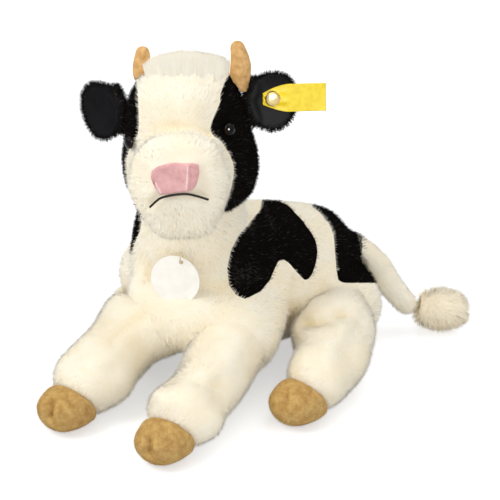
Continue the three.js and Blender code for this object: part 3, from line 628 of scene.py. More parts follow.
# How fibres differ: their slope in radians, their length and width as shares, their tips and feet in mm
FLOW_SPREAD = 0.25
SLOPE_SPREAD = 0.2
SLOPE_LEAST = 0.05
SLOPE_MOST = 1.35
LENGTH_LEAST = 0.85
LENGTH_SPREAD = 0.3
WIDTH_LEAST = 0.8
WIDTH_SPREAD = 0.4
TIP_GAP = 0.15
FOOT_DEPTH = 0.3
FOOT_STRETCH = 1.2

# How fibres are shaded, and which of their tints they take. Creases and undersides move a fibre to its
# later tints: painted shade in the cream, tuft and tan piles, painted glints in the black one
FACING_ALONG = 0.15
FACING_UP = 0.3
FACING_SPREAD = 0.45
TINT_MIDDLE = 0.8
TINT_SPREAD = 0.65
TINT_FOR_PAINTED_CREASE_SHADE = 2.6
TINT_FOR_PAINTED_UNDERSIDE_SHADE = 0.8
UNDERNEATH = 0.2


def pile(name, body, materials, roots, flow, length, seed, lean=0.85, width=0.3, darker=0.0):
    """Fibres from the roots, leaning with the flow. Length is one number or one for each root, in mm."""
    random = np.random.default_rng(seed)
    count = len(roots)
    points, normals, deep = roots[:, :3], roots[:, 3:6], roots[:, 6]
    along = unit(flattened(flow, normals)) + FLOW_SPREAD * random.normal(size=(count, 3))
    along = unit(flattened(unit(along), normals))
    across = np.cross(normals, along)
    slope = np.clip(lean + SLOPE_SPREAD * random.normal(size=count), SLOPE_LEAST, SLOPE_MOST)[:, None]
    reach = (np.asarray(length) * MM * (LENGTH_LEAST + LENGTH_SPREAD * random.random(count)))[:, None]
    tips = points + reach * (normals * np.cos(slope) + along * np.sin(slope))
    tips[:, 2] = np.maximum(tips[:, 2], TIP_GAP * MM)
    foot = points - normals * FOOT_DEPTH * MM
    half = (width * MM / 2) * (WIDTH_LEAST + WIDTH_SPREAD * random.random(count))[:, None]
    corners = [foot + across * half, foot - across * half, foot + along * half * FOOT_STRETCH]
    facing = normals + FACING_ALONG * along + np.array([0, 0, FACING_UP])
    facing = unit(facing + FACING_SPREAD * random.normal(size=(count, 3)))
    # Painted shade: fibres in creases and on faces turned down take later, deeper tints (lighter, glinting
    # ones in the black pile)
    under = np.clip(UNDERNEATH - normals[:, 2], 0, 1)
    shade = TINT_MIDDLE + TINT_SPREAD * random.normal(size=count) + TINT_FOR_PAINTED_CREASE_SHADE * deep
    shade = np.clip(shade + TINT_FOR_PAINTED_UNDERSIDE_SHADE * under + darker, 0, len(materials) - 1).astype(int)
    fibres = spikes(name, corners, tips, facing, shade, materials)
    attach(fibres, body)


def spike_faces(corners, tips):
    """Four triangles for each spike, turned to face outwards."""
    count = len(tips)
    start = (np.arange(count) * 4)[:, None]
    shape = np.array([[0, 1, 3], [1, 2, 3], [2, 0, 3], [0, 2, 1]])
    flip = np.sum(np.cross(corners[1] - corners[0], tips - corners[0]) * (corners[2] - corners[0]), axis=1)
    faces = (start[:, :, None] + shape[None, :, :]).reshape(count, 4, 3)
    faces[flip > 0] = faces[flip > 0][:, :, ::-1]
    return faces.reshape(-1, 3)


def spikes(name, corners, tips, facing, shade, materials):
    """A mesh of closed spikes, each on three foot corners, shaded as the cloth that carries it."""
    vertices = np.stack([*corners, tips], axis=1).reshape(-1, 3)
    faces = spike_faces(corners, tips)
    mesh = bpy.data.meshes.new(name)
    mesh.vertices.add(len(vertices))
    mesh.vertices.foreach_set("co", vertices.astype(np.float32).ravel())
    mesh.loops.add(len(faces) * 3)
    mesh.loops.foreach_set("vertex_index", faces.astype(np.int32).ravel())
    mesh.polygons.add(len(faces))
    mesh.polygons.foreach_set("loop_start", (np.arange(len(faces)) * 3).astype(np.int32))
    mesh.polygons.foreach_set("material_index", np.repeat(shade, 4).astype(np.int32))
    mesh.polygons.foreach_set("use_smooth", np.ones(len(faces), dtype=bool))
    mesh.update(calc_edges=True)
    mesh.normals_split_custom_set_from_vertices(np.repeat(facing, 4, axis=0).tolist())
    obj = add_object(name, mesh, materials)
    obj.visible_shadow = False
    obj.visible_diffuse = False
    return obj


# The stuffed forms

SHOULDERS = {"front_right": 14.5, "front_left": 19.5, "hind_left": 22.5, "hind_right": 20.5}
SEATS, TORSO_MIDDLE = {}, {}
for leg in LEGS:
    front = leg.startswith("front")
    SEATS[leg] = joint_place(f"leg_{leg}_lift" if front else f"leg_{leg}_spread")
    TORSO_MIDDLE[leg] = mm(-11, -33, 44) if front else mm(13, 31, 36)
SHOULDER_INWARD = 5


def middle_of(name):
    low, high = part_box(name)
    return (low + high) / 2


def shoulder_place(leg):
    seat = SEATS[leg]
    return seat + (TORSO_MIDDLE[leg] - seat).normalized() * SHOULDER_INWARD * MM


def towards_hoof(leg, reach):
    """The place that is reach mm from a leg's seat on the way to its hoof."""
    return SEATS[leg] + (middle_of(f"hoof_{leg}") - SEATS[leg]).normalized() * reach * MM


# For each leg, in mm: a ball's radius at the seat, that of a second ball, and how far that one is out
TORSO_BALLS = {
    "front_right": (15.5, 14, 9),
    "front_left": (21.5, 23.5, 14),
    "hind_left": (21, 18, 9),
    "hind_right": (20, 16, 9),
}
CHEST_BALLS = [(mm(-12, -57, 46), 17), (mm(2, -59, 41), 17), (mm(12, -56, 43), 16)]
torso_balls = [(joint_place("tail_wag"), 9)]
for leg, (radius, outer, reach) in TORSO_BALLS.items():
    torso_balls += [(SEATS[leg], radius), (towards_hoof(leg, reach), outer)]

# Folds are (places in mm, width, height). Photo folds have pixels for places. Under 0 is a groove.
TORSO_FOLDS = [
    ([(-16, -66, 66), (-15, -66, 58), (-13, -66, 50)], 3, -1.5),
    ([(-24, -64, 62), (-22, -64, 50)], 6, 1.5),
    ([(9, -58, 53), (9.5, -56, 43), (14, -58, 38)], 3, -2.2),
    ([(14, -52, 46)], 7, 1.5),
]
TORSO_PHOTO_FOLDS = [
    ([(263, 204), (270, 216), (275, 228), (276, 243), (274, 258)], 2.6, -1.6),
    ([(284, 222), (292, 236), (297, 251), (298, 260)], 2.6, -0.9),
    ([(317, 316), (322, 300), (327, 286)], 4, -1.6),
    ([(291, 326), (292, 302), (294, 286)], 4, -1.2),
    ([(308, 205), (322, 212), (333, 226)], 2.6, -0.6),
]
PATCHES = ["shoulder_patch_left", "shoulder_patch_right", "rump_patch"]
torso = skin(
    "torso_skin", ["torso_filling"], "torso",
    balls=torso_balls + CHEST_BALLS, folds=TORSO_FOLDS, photo_folds=TORSO_PHOTO_FOLDS,
    replaces=["torso_filling", "torso_cover", *PATCHES],
)


def torso_panels(mesh):
    depths = panel_depths(mesh, PATCHES, "torso_cover")
    shoulder, drawn = shoulder_depths(mesh)
    depths[drawn] = shoulder[drawn]
    rump, pixels = drawn_depths(mesh, RUMP_PANEL)
    behind = pixels[:, 0] > RUMP_LEFT
    near = towards_camera(mesh) > 0
    redraw(depths, rump, near & behind, ~near & behind)
    note(mesh, "panel", depths)


torso_panels(torso.data)

HEAD_PHOTO_FOLDS = [
    ([(153, 131.5), (163, 128), (177, 126), (189, 127), (199, 130), (209, 134)], 2.4, -0.8),
    ([(150, 144), (165, 138), (180, 136), (195, 138), (210, 145)], 7, 1.2),
    ([(163, 160), (178, 158)], 5, -1.2),
    ([(203, 172), (204, 188)], 4, -1.4),
    ([(144, 172), (147, 184)], 3, -1.2),
    (
        [(152, 205), (158, 197), (166, 195), (177, 192), (187, 191), (195, 194), (201, 197), (208, 199)],
        2.2, -1.6,
    ),
    ([(179, 217)], 6, -1.2),
]
HEAD_FOLDS = [([HEAD @ mm(x, -18, -8) / MM], 6, 2) for x in (-22.6, 22.6)]
CHIN = [(HEAD @ mm(x, -34.5, -40.5), 13) for x in (-5, 5)]
NAPE = (NECK_TOP + mm(0, -1, 9), 24)
CHEEKS = ["cheek_panel_left", "cheek_panel_right"]
head = skin(
    "head_skin", ["head_filling"], "head",
    voxel=1.5, rounds=36, folds=HEAD_FOLDS, photo_folds=HEAD_PHOTO_FOLDS,
    balls=[NAPE, *CHIN],
    replaces=["head_filling", "head_cover", *CHEEKS],
)


def head_panels(mesh):
    depths = panel_depths(mesh, CHEEKS, "head_cover")
    cheek, pixels = drawn_depths(mesh, CHEEK_PANEL)
    beside = (pixels[:, 0] < CHEEK_RIGHT) & (pixels[:, 1] > CHEEK_TOP)
    near = towards_camera(mesh) > CHEEK_FACING
    redraw(depths, cheek, near & beside, ~near & beside)
    note(mesh, "panel", depths)


head_panels(head.data)

LEG_BALLS = {"front_right": [(mm(-9, -63, 35), 17)]}
LEG_FOLDS = {
    "front_left": [
        ([(30, -92, 33), (36, -106, 36)], 9, -3),
        ([(36, -117, 32), (45, -118, 32)], 6, 1.5),
        ([(60, -92, 30)], 8, -1.5),
        ([(64, -102, 15)], 10, 4.5),
    ],
    "front_right": [
        ([(3, -104, 16)], 10, 4),
        ([(-13, -118, 38)], 10, -2),
    ],
    "hind_left": [
        ([(51, -18.5, 39), (59.6, -19, 43), (68, -14, 46), (70, -5.5, 46.5)], 4.5, -3),
        ([(77, 2, 40), (86, -20, 35)], 8, -3),
    ],
}
LEG_PHOTO_FOLDS = {
    "front_right": [
        ([(146, 310), (134, 318), (122, 329), (112, 341)], 3.2, -1.6),
        ([(84, 366), (96, 372), (112, 374)], 3.5, -1.0),
    ],
    "front_left": [
        ([(198, 382), (210, 384), (222, 380)], 3.2, -1.1),
        ([(204, 345), (214, 338), (226, 335)], 3.0, -0.8),
    ],
    "hind_left": [
        ([(300, 322), (311, 322), (321, 318), (328, 313), (338, 310), (352, 310)], 3.2, -1.5),
        ([(286, 350), (296, 343), (310, 341)], 3.5, -0.9),
    ],
}
legs = {}
for leg in LEGS:
    legs[leg] = skin(
        f"leg_{leg}_skin", [f"leg_{leg}_filling"], f"leg_{leg}",
        balls=[(shoulder_place(leg), SHOULDERS[leg]), *LEG_BALLS.get(leg, [])],
        folds=LEG_FOLDS.get(leg, []), photo_folds=LEG_PHOTO_FOLDS.get(leg, []),
        replaces=[f"leg_{leg}_filling", f"leg_{leg}_cover"],
    )


def leg_panels(front, hind):
    """The shoulder panel reaches down over the front leg, and the rump panel over the hind one."""
    shoulder, drawn = shoulder_depths(front)
    note(front, "panel", np.where(drawn, shoulder, -PANEL_LIMIT))
    note(hind, "panel", drawn_depths(hind, RUMP_PANEL)[0])


leg_panels(legs["front_left"].data, legs["hind_left"].data)

TUFT_BALL = (mm(80, 90, 8), 4)
tail = skin("tail_skin", ["tail"], "tail", voxel=1.2, rounds=8, grow=-0.8)
tuft = skin(
    "tuft_skin", ["tail_tuft"], "tail", voxel=1.5, rounds=10, grow=-3,
    balls=[TUFT_BALL], materials=[tuft_pile[1]],
)
EAR_ROOT_RADIUS = 3.6


def ear_root(side, height):
    """A ball at the ear's root, which bows outwards above and below the middle."""
    outward = SIGNS[side] * (1.5 + abs(height) * 0.35)
    return EARS[side] @ mm(outward, -1.5, height), EAR_ROOT_RADIUS


ears = {}
for side in EARS:
    ears[side] = skin(
        f"ear_{side}_skin", [f"ear_{side}_back", f"ear_{side}_lining"], f"ear_{side}",
        voxel=0.8, rounds=12, grow=-0.3, balls=[ear_root(side, height) for height in range(-9, 10, 3)],
        materials=[ear_lining],
    )
HOOF_FOLDS = {
    "front_left": [
        ([(147, 440), (148.5, 446), (147, 453)], 2, -4),
        ([(155, 447)], 3.2, 2), ([(141, 447)], 3, 1.2),
        ([(167, 439), (176, 445), (186, 449)], 1.3, -1),
    ],
    "front_right": [
        ([(49, 403), (50.5, 410), (49, 417)], 2, -4),
        ([(57, 412)], 3.2, 1.8), ([(43, 410)], 3, 1.2),
        ([(70, 402), (80, 408), (92, 411)], 1.3, -1),
    ],
    "hind_left": [
        ([(284, 390), (285, 397), (283, 404)], 2, -2.6),
        ([(300, 390), (312, 393), (326, 392)], 1.3, -1),
        ([(311, 393), (310, 404), (306, 414)], 1.2, -0.8),
    ],
}
hooves = {}
for leg in LEGS:
    name = f"hoof_{leg}"
    hooves[leg] = skin(
        f"{name}_skin", [name], f"leg_{leg}", voxel=0.9, rounds=24, grow=-0.2,
        photo_folds=HOOF_FOLDS.get(leg, []), materials=[velour],
    )
for side in EARS:
    skin(
        f"horn_{side}_skin", [f"horn_{side}"], "head", voxel=0.7, rounds=12, grow=0.1,
        materials=[felt],
    )

NOSE_LEFT_RIDGE = [(151, 173.5), (155.5, 183), (161, 193.5)]
NOSE_LEFT_GROOVE = [(149.3, 174.5), (153.5, 183.5), (159, 194)]
NOSE_RIGHT_RIDGE = [(187.5, 167), (187.3, 178), (186.3, 190)]
NOSE_RIGHT_GROOVE = [(191.5, 167.5), (191, 178), (190, 190)]
nose = skin(
    "nose_skin", ["nose_panel"], "head", voxel=0.4, rounds=2, grow=0.5,
    photo_folds=[
        (NOSE_LEFT_GROOVE, 0.9, -1.1),
        (NOSE_LEFT_RIDGE, 0.7, 0.7),
        (NOSE_RIGHT_RIDGE, 1.2, 0.5),
        (NOSE_RIGHT_GROOVE, 0.9, -0.5),
    ],
    materials=[pink, pink_painted_highlight, pink_painted_shade],
)

# Bands on the nose panel: the line, how far in mm the colour reaches from it, and which pink it is. The
# pale pink on the ridges is painted highlight, the deep pink in the left groove painted shade
NOSE_BANDS = ((NOSE_RIGHT_RIDGE, 0.4, 1), (NOSE_LEFT_GROOVE, 0.9, 2), (NOSE_LEFT_RIDGE, 0.45, 1))


def nose_colours(mesh):
    """Painted highlight on the ridges of the folds, which are pale, and painted shade in the groove beside
    the left one, which is deep pink.
    """
    tree = tree_of(mesh)
    centres = np.array([polygon.center[:] for polygon in mesh.polygons]) / MM
    index = np.zeros(len(centres), dtype=np.int32)
    for line, reach, tone in NOSE_BANDS:
        index[line_gaps(centres, seen(tree, line)) < reach] = tone
    mesh.polygons.foreach_set("material_index", index)


nose_colours(nose.data)


# The pile on each form

trees = {
    "torso": tree_of(torso.data),
    "head": tree_of(head.data),
    **{leg: tree_of(legs[leg].data) for leg in LEGS},
}


FLOOR_ZONE = 1.2
FACES_DOWN = -0.5


def shown(roots, others, depth):
    """Roots that aren't pressed to the floor and lie in no other form."""
    points, normals = roots[:, :3], roots[:, 3:6]
    keep = (points[:, 2] > FLOOR_ZONE * MM) | (normals[:, 2] > FACES_DOWN)
    roots = roots[keep]
    return roots[~inside(others, roots[:, :3], depth)]


def two_colours(name, body, roots, flow, length, seed):
    """Cream pile, and black pile where a panel is."""
    black = roots[:, 7] > 0
    length = np.broadcast_to(length, len(roots))
    for colour, mask, materials in (("cream", ~black, cream_pile), ("black", black, black_pile)):
        if mask.any():
            pile(
                f"{name}_{colour}", body, materials,
                roots[mask], flow[mask], length[mask], seed=seed,
            )


BODY_LENGTH = 2.3
TORSO_FLOW = np.array([0.15, 0.8, -0.75])


def torso_pile():
    others = [trees[leg] for leg in LEGS] + [trees["head"]]
    roots = shown(sampled(torso, spacing=0.93, seed=21), others, depth=0.3)
    flow = TORSO_FLOW + 0.25 * wander(roots[:, :3], scale=30, seed=5)
    two_colours("torso_pile", "torso", roots, flow, BODY_LENGTH, seed=3)


def leg_pile(leg):
    others = [trees["torso"]] + [trees[other] for other in LEGS if other != leg]
    roots = shown(sampled(legs[leg], spacing=0.9, seed=31), others, depth=1.0)
    flow = unit(np.array(middle_of(f"hoof_{leg}")) - roots[:, :3])
    flow = flow + 0.25 * wander(roots[:, :3], scale=25, seed=6)
    two_colours(f"leg_{leg}_pile", f"leg_{leg}", roots, flow, BODY_LENGTH, seed=5)


# The pile is shorter near the nose and mouth, and longer on the sides of the crown. All are in mm.
FACE_FLOW = np.array([0, 40, 20])
NOSE_GAPS = [1.2, 5]
NOSE_LENGTHS = [0.5, 2.1]
CROWN_HEIGHT = 10
CROWN_MIDDLE = 13
CROWN_LENGTH = 3.0


def head_pile():
    roots = shown(sampled(head, spacing=0.84, seed=41), [trees["torso"]], depth=1.5)
    points = roots[:, :3]
    local = in_frame(HEAD, points)
    flow = unit(from_frame(HEAD, local + FACE_FLOW)) + 0.2 * wander(points, scale=20, seed=7)
    nose_tree = node_tree("nose_panel", "mouth_thread")
    near = np.array([nose_tree.find_nearest(Vector(point))[3] for point in points]) / MM
    length = np.interp(near, NOSE_GAPS, NOSE_LENGTHS)
    crown = (local[:, 2] > CROWN_HEIGHT) & (np.abs(local[:, 0]) > CROWN_MIDDLE) & (roots[:, 7] <= 0)
    length[crown] = CROWN_LENGTH
    two_colours("head_pile", "head", roots, flow, length, seed=7)


# The ear is an oval that starts at its root. Its rim is counted from 0 at the middle to 1 at the edge.
EAR_HALF_LENGTH = 13.5
EAR_HALF_HEIGHT = 15
RIM_PARTS = [0.78, 0.95]
RIM_LENGTHS = [1.4, 3.4]
LINING_EDGE = 0.8
FACES_FRONT = -0.3


def ear_pile(side):
    """Short pile on the ear's back, and a shaggy rim. The middle of the lining is bare."""
    roots = sampled(ears[side], spacing=0.5, seed=51)
    roots = roots[~inside([trees["head"]], roots[:, :3], depth=0.5)]
    matrix = EARS[side]
    local = in_frame(matrix, roots[:, :3])
    away = local - np.array([SIGNS[side] * EAR_HALF_LENGTH, 0, 0])
    rim = np.linalg.norm(away[:, [0, 2]] / np.array([EAR_HALF_LENGTH, EAR_HALF_HEIGHT]), axis=1)
    front = from_frame(matrix.inverted(), roots[:, 3:6])[:, 1] < FACES_FRONT
    flow = from_frame(matrix, away * [1, 0.2, 1]) + 0.2 * wander(roots[:, :3], scale=12, seed=8)
    length = np.interp(rim, RIM_PARTS, RIM_LENGTHS)
    keep = ~(front & (rim < LINING_EDGE))
    pile(
        f"ear_{side}_pile", f"ear_{side}", black_pile,
        roots[keep], flow[keep], length[keep], lean=1.0, width=0.4, seed=9,
    )


# The forelock's outline from the front, in mm in the head's frame
FRINGE_EDGE = [-21, -18.7, -12, -1, 8.7, 18.2, 24.5, 26.5]
FRINGE_TOPS = [26, 29.5, 34.2, 35.8, 35.2, 32.8, 29, 25]
FRINGE_LEAST = 2.2
FRINGE_TRIES = 7000
FRINGE_MIDDLE = (2.5, -1)
FRINGE_HALF_WIDTH = 21
FRINGE_HALF_DEPTH = 14
FRINGE_FOOT = 1.0
FRINGE_THICK = 0.44
ABOVE_HEAD = 60


def fringe_feet(random):
    """Where the long fibres start on the head, and how far across and back that is in its frame."""
    spread = random.uniform(-1, 1, (FRINGE_TRIES, 2))
    spread = spread[np.linalg.norm(spread, axis=1) < 1]
    x = FRINGE_MIDDLE[0] + FRINGE_HALF_WIDTH * spread[:, 0]
    ripple = 1.2 * np.sin(x * 0.9) * (spread[:, 1] < 0)
    y = FRINGE_MIDDLE[1] + FRINGE_HALF_DEPTH * spread[:, 1] + ripple + 0.8 * random.normal(size=len(x))
    up = HEAD.to_3x3() @ Vector((0, 0, 1))
    feet, places = [], []
    for across, back in zip(x, y):
        hit = trees["head"].ray_cast(HEAD @ mm(across, back, ABOVE_HEAD), -up)[0]
        if hit:
            feet.append(hit[:])
            places.append((across, back))
    return np.array(feet), *np.array(places).T


def fringe_heights(feet, across, back, random):
    """How long the fibres are, in mm, so that they end at the outline and lower before and behind it."""
    tops = np.interp(across, FRINGE_EDGE, FRINGE_TOPS) - 0.018 * np.maximum(back + 6, 0) ** 2
    tops -= 0.02 * np.minimum(back + 10, 0) ** 2 + 1.8 * random.random(len(feet)) ** 2
    return np.maximum(tops - in_frame(HEAD, feet)[:, 2], FRINGE_LEAST)


def fringe():
    """Long fibres that stand along the top of the head."""
    random = np.random.default_rng(61)
    feet, across, back = fringe_feet(random)
    height = fringe_heights(feet, across, back, random)
    sway = 0.35 * wander(feet, scale=6, seed=9) + 0.12 * random.normal(size=(len(feet), 3))
    lean = np.stack([0.012 * across, -0.12 + 0 * across, np.ones(len(feet))], axis=1)
    directions = unit(from_frame(HEAD, lean) + 0.3 * from_frame(HEAD, sway))
    tips = feet + directions * height[:, None] * MM
    foot = feet - directions * FRINGE_FOOT * MM
    side = unit(np.cross(directions, np.array(CAMERA_BACK)))
    back_way = np.cross(side, directions)
    half = FRINGE_THICK / 2 * MM
    corners = [foot + side * half, foot - side * half, foot + back_way * half]
    face = np.stack([0.02 * across, np.clip(0.09 * (back - 4), -1.1, 0.6), 0.8 + 0 * across], axis=1)
    facing = unit(from_frame(HEAD, face) + 0.16 * random.normal(size=(len(feet), 3)))
    shade = np.clip(1.1 + 0.7 * random.normal(size=len(feet)), 0, 3).astype(int)
    fibres = spikes("forelock_fibres", corners, tips, facing, shade, cream_pile)
    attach(fibres, "head")
    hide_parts("forelock")


TAIL_LENGTH = 2.0
TUFT_LENGTH = 4.6


def tail_pile():
    roots = shown(sampled(tail, spacing=0.8, seed=71), [trees["torso"]], depth=1.0)
    centre = np.array(middle_of("tail_tuft"))
    flow = unit(centre - roots[:, :3]) + 0.2 * wander(roots[:, :3], scale=12, seed=10)
    pile("tail_pile", "tail", cream_pile, roots, flow, TAIL_LENGTH, seed=13)
    roots = sampled(tuft, spacing=0.62, seed=72)
    along = unit((centre - np.array(joint_place("tail_wag")))[None, :])
    outward = unit(roots[:, :3] - centre)
    flow = along + 0.35 * outward + 0.45 * wander(roots[:, :3], scale=6, seed=11)
    pile(
        "tuft_fibres", "tail", tuft_pile, roots, flow, TUFT_LENGTH,
        lean=0.95, width=0.4, seed=15,
    )


NAP_LENGTH = 0.8
NAP_DROOP = np.array([0, 0, -0.4])
HOOF_DARK_START = 8
HOOF_DARK_SPAN = 10


def hoof_pile(leg):
    """Short nap that is darker at the top of the hoof, with soft clouds."""
    roots = shown(sampled(hooves[leg], spacing=0.62, seed=81), [trees[leg]], depth=0.8)
    flow = wander(roots[:, :3], scale=9, seed=12) + NAP_DROOP
    height = np.clip((roots[:, 2] / MM - HOOF_DARK_START) / HOOF_DARK_SPAN, 0, 1)
    darker = 0.9 * height + 0.45 * wander(roots[:, :3], scale=14, seed=13)[:, 0]
    pile(
        f"hoof_{leg}_nap", f"leg_{leg}", tan_pile, roots, flow, NAP_LENGTH,
        width=0.25, seed=17, darker=darker,
    )


torso_pile()
head_pile()
fringe()
tail_pile()
for leg in LEGS:
    leg_pile(leg)
    hoof_pile(leg)
for side in EARS:
    ear_pile(side)


# Eyes

SEGMENTS = 48


def revolved(name, profile, matrix):
    """A closed turned form: (radius, height) pairs in mm from the bottom axis point to the top one."""
    form = bmesh.new()
    rings = []
    for radius, height in profile:
        if radius == 0:
            rings.append([form.verts.new(matrix @ mm(0, 0, height))])
            continue
        ring = []
        for i in range(SEGMENTS):
            angle = 2 * math.pi * i / SEGMENTS
            place = mm(radius * math.cos(angle), radius * math.sin(angle), height)
            ring.append(form.verts.new(matrix @ place))
        rings.append(ring)
    for lower, upper in zip(rings, rings[1:]):
        for i in range(SEGMENTS):
            corners = [lower[i % len(lower)], lower[(i + 1) % len(lower)]]
            corners += [upper[(i + 1) % len(upper)], upper[i % len(upper)]]
            form.faces.new(list(dict.fromkeys(corners)))
    for face in form.faces:
        face.smooth = True
    bmesh.ops.recalc_face_normals(form, faces=form.faces)
    return mesh_from(form, name)


eye_black = plain("eye_black", (0.002, 0.0016, 0.0016), 0.04, Specular_IOR_Level=0.1)
eye_brown = plain("eye_brown", (0.03, 0.01, 0.003), 0.08, Specular_IOR_Level=0.1)
EYE_RADIUS = 3.4
EYE_HEIGHT = 2.8
EYE_PROUD = 0.5
EYE_FOOT = -2.2
BEFORE_EYE = 20
RING_START = 0.7
RING_END = 0.9
DOME_STEPS = 12


def eye(side, sign):
    """A glossy dome with a thin brown ring near its rim."""
    direction = HEAD.to_3x3() @ Vector((sign * 0.79, -0.6, 0.11)).normalized()
    tree = node_tree(f"eye_{side}")
    top = tree.ray_cast(middle_of(f"eye_{side}") + direction * BEFORE_EYE * MM, -direction)[0]
    base = top - direction * (EYE_HEIGHT - EYE_PROUD) * MM
    angles = [math.pi / 2 * step / DOME_STEPS for step in range(DOME_STEPS)]
    profile = [(0, EYE_FOOT)]
    profile += [(EYE_RADIUS * math.cos(angle), EYE_HEIGHT * math.sin(angle)) for angle in angles]
    profile.append((0, EYE_HEIGHT))
    matrix = Matrix.Translation(base) @ direction.to_track_quat("Z", "Y").to_matrix().to_4x4()
    mesh = revolved(f"eye_{side}_dome", profile, matrix)
    obj = add_object(f"eye_{side}_dome", mesh, [eye_black, eye_brown])
    for polygon in mesh.polygons:
        height = (polygon.center - base).dot(direction) / MM
        polygon.material_index = 1 if RING_START < height < RING_END else 0
    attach(obj, "head")
    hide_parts(f"eye_{side}")


for side, sign in SIGNS.items():
    eye(side, sign)


# Ribbon label

ribbon = cloth("label_ribbon", (0.85, 0.62, 0.015), (0.95, 0.73, 0.03), 300, 4000, 0.08, roughness=0.5)
LABEL_START = 8.4
LABEL_END = 40.4
LABEL_FLAT = 21.5
LABEL_MIDDLE = 1.35
LABEL_WIDTH = 14.5
LABEL_THICK = 0.5
LABEL_STEPS = 56
LABEL_COLUMNS = 28
LABEL_FRONT = -2.85
LABEL_DROP = 5.0
DROP_START = 13.5
GATHER = 0.6
PLEAT = 1.5
PLEAT_TURNS = 2.6
CURL = 0.35
CURL_START = 30
CURL_SPAN = 10


def label_point(along, across, lift):
    """A place on the ribbon: along it in mm, across it from -1 to 1, and lifted off its middle surface."""
    gathered = np.clip((LABEL_FLAT - along) / (LABEL_FLAT - LABEL_START), 0, 1)
    narrow = 1 - GATHER * gathered**1.5
    height = LABEL_MIDDLE + across * narrow * LABEL_WIDTH / 2
    pleat = PLEAT * gathered**0.7 * (1 - 0.55 * gathered) * np.sin(across * PLEAT_TURNS * math.pi + 0.6)
    front = LABEL_FRONT - LABEL_DROP * np.clip((along - DROP_START) / (LABEL_END - DROP_START), 0, 1)
    curl = CURL * np.clip((along - CURL_START) / CURL_SPAN, 0, 1) * across**2
    return Vector((along, front - curl + pleat * 0.6 - lift, height)) * MM


def label_rows(form, lift):
    """The points of one face of the ribbon, row by row along it."""
    rows = []
    for i in range(LABEL_STEPS + 1):
        along = LABEL_START + (LABEL_END - LABEL_START) * i / LABEL_STEPS
        across = [2 * j / LABEL_COLUMNS - 1 for j in range(LABEL_COLUMNS + 1)]
        rows.append([form.verts.new(EARS["left"] @ label_point(along, share, lift)) for share in across])
    return rows


def label_mesh():
    """Two faces of a ribbon with an edge all round."""
    long, wide = LABEL_STEPS, LABEL_COLUMNS
    form = bmesh.new()
    sides = [label_rows(form, lift) for lift in (-LABEL_THICK / 2, LABEL_THICK / 2)]
    for rows in sides:
        for i in range(long):
            for j in range(wide):
                form.faces.new([rows[i][j], rows[i + 1][j], rows[i + 1][j + 1], rows[i][j + 1]])
    edge = [(i, 0) for i in range(long)] + [(long, j) for j in range(wide)]
    edge += [(i, wide) for i in range(long, 0, -1)] + [(0, j) for j in range(wide, 0, -1)]
    for (i, j), (k, m) in zip(edge, edge[1:] + edge[:1]):
        form.faces.new([sides[0][i][j], sides[0][k][m], sides[1][k][m], sides[1][i][j]])
    bmesh.ops.recalc_face_normals(form, faces=form.faces)
    for face in form.faces:
        face.smooth = True
    return mesh_from(form, "label_ribbon")


def label():
    """A yellow ribbon that is gathered under the ear button and lies flat past it."""
    obj = add_object("label_ribbon", label_mesh(), [ribbon])
    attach(obj, "ear_label")
    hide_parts("ear_label")


label()


# Small trim that keeps its solid

brass = plain("button_brass", (0.5, 0.38, 0.17), 0.22, Metallic=1.0)
card = cloth("tag_card", (0.86, 0.84, 0.78), (0.92, 0.9, 0.85), 120, 2500, 0.03, roughness=0.5)
washer = plain("washer_plastic", (0.8, 0.8, 0.78), 0.4)
FINISHES = {
    "mouth_thread": thread_black, "tag_thread": thread_cream, "chest_tag": card,
    "ear_button": brass, "rivet_plate": brass, "eye_washer_left": washer, "eye_washer_right": washer,
}
for name, material in FINISHES.items():
    nodes[name].data.materials.clear()
    nodes[name].data.materials.append(material)


# Studio

AMBIENT = 0.64
FLOOR_GLOW = 0.5
FLOOR_HALF = 6
FLOOR_COLOUR = (0.66, 0.67, 0.69)
LAMP_AIM = Vector((0, 0, 0.08))

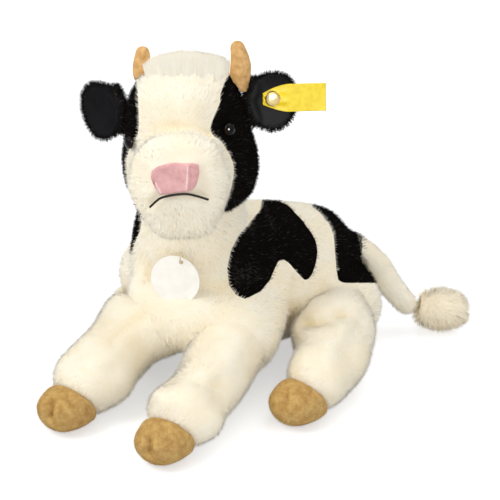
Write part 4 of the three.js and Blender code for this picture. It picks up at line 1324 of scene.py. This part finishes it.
# For each lamp: its place and size in metres, and its power in watts
LAMPS = {
    "key": (Vector((-0.55, -1.0, 1.3)), 0.9, 13),
    "fill": (Vector((1.3, -0.9, 0.7)), 1.2, 5.5),
    "top": (Vector((0.1, 0.5, 1.6)), 1.2, 7),
    "glint": (Vector((1.03, -0.6, 0.65)), 0.5, 110),
}


def backdrop_rays(tree):
    """One for the rays that see the backdrop itself: from the camera, or through gloss or glass."""
    path = tree.nodes.new("ShaderNodeLightPath")
    total = path.outputs["Is Camera Ray"]
    for output in ("Is Glossy Ray", "Is Transmission Ray"):
        total = maths(tree, "MAXIMUM", total, path.outputs[output])
    return total


def area_lamp(name, place, size, power):
    data = bpy.data.lights.new(name, "AREA")
    data.energy = power
    data.size = size
    lamp = bpy.data.objects.new(name, data)
    lamp.location = place
    lamp.rotation_euler = (LAMP_AIM - place).to_track_quat("-Z", "Y").to_euler()
    bpy.context.scene.collection.objects.link(lamp)
    return lamp


def studio():
    lamps = {name: area_lamp(name, *values) for name, values in LAMPS.items()}
    lamps["glint"].visible_diffuse = False
    world = bpy.data.worlds.new("studio_white")
    bpy.context.scene.world = world
    world.use_nodes = True
    tree = world.node_tree
    background = tree.nodes["Background"]
    strength = tree.nodes.new("ShaderNodeMix")
    strength.inputs["A"].default_value = AMBIENT
    strength.inputs["B"].default_value = 1.0
    background.inputs["Color"].default_value = (1, 1, 1, 1)
    tree.links.new(backdrop_rays(tree), strength.inputs["Factor"])
    tree.links.new(strength.outputs["Result"], background.inputs["Strength"])


def floor():
    material = plain("floor_white", FLOOR_COLOUR, 0.9, Specular_IOR_Level=0.1)
    tree = material.node_tree
    shader = tree.nodes["Principled BSDF"]
    glow = maths(tree, "MULTIPLY", backdrop_rays(tree), FLOOR_GLOW)
    shader.inputs["Emission Color"].default_value = (1, 1, 1, 1)
    tree.links.new(glow, shader.inputs["Emission Strength"])
    form = bmesh.new()
    bmesh.ops.create_grid(form, x_segments=1, y_segments=1, size=FLOOR_HALF)
    add_object("floor", mesh_from(form, "floor"), [material])


camera()
studio()
floor()
bpy.context.scene.view_settings.view_transform = "Standard"
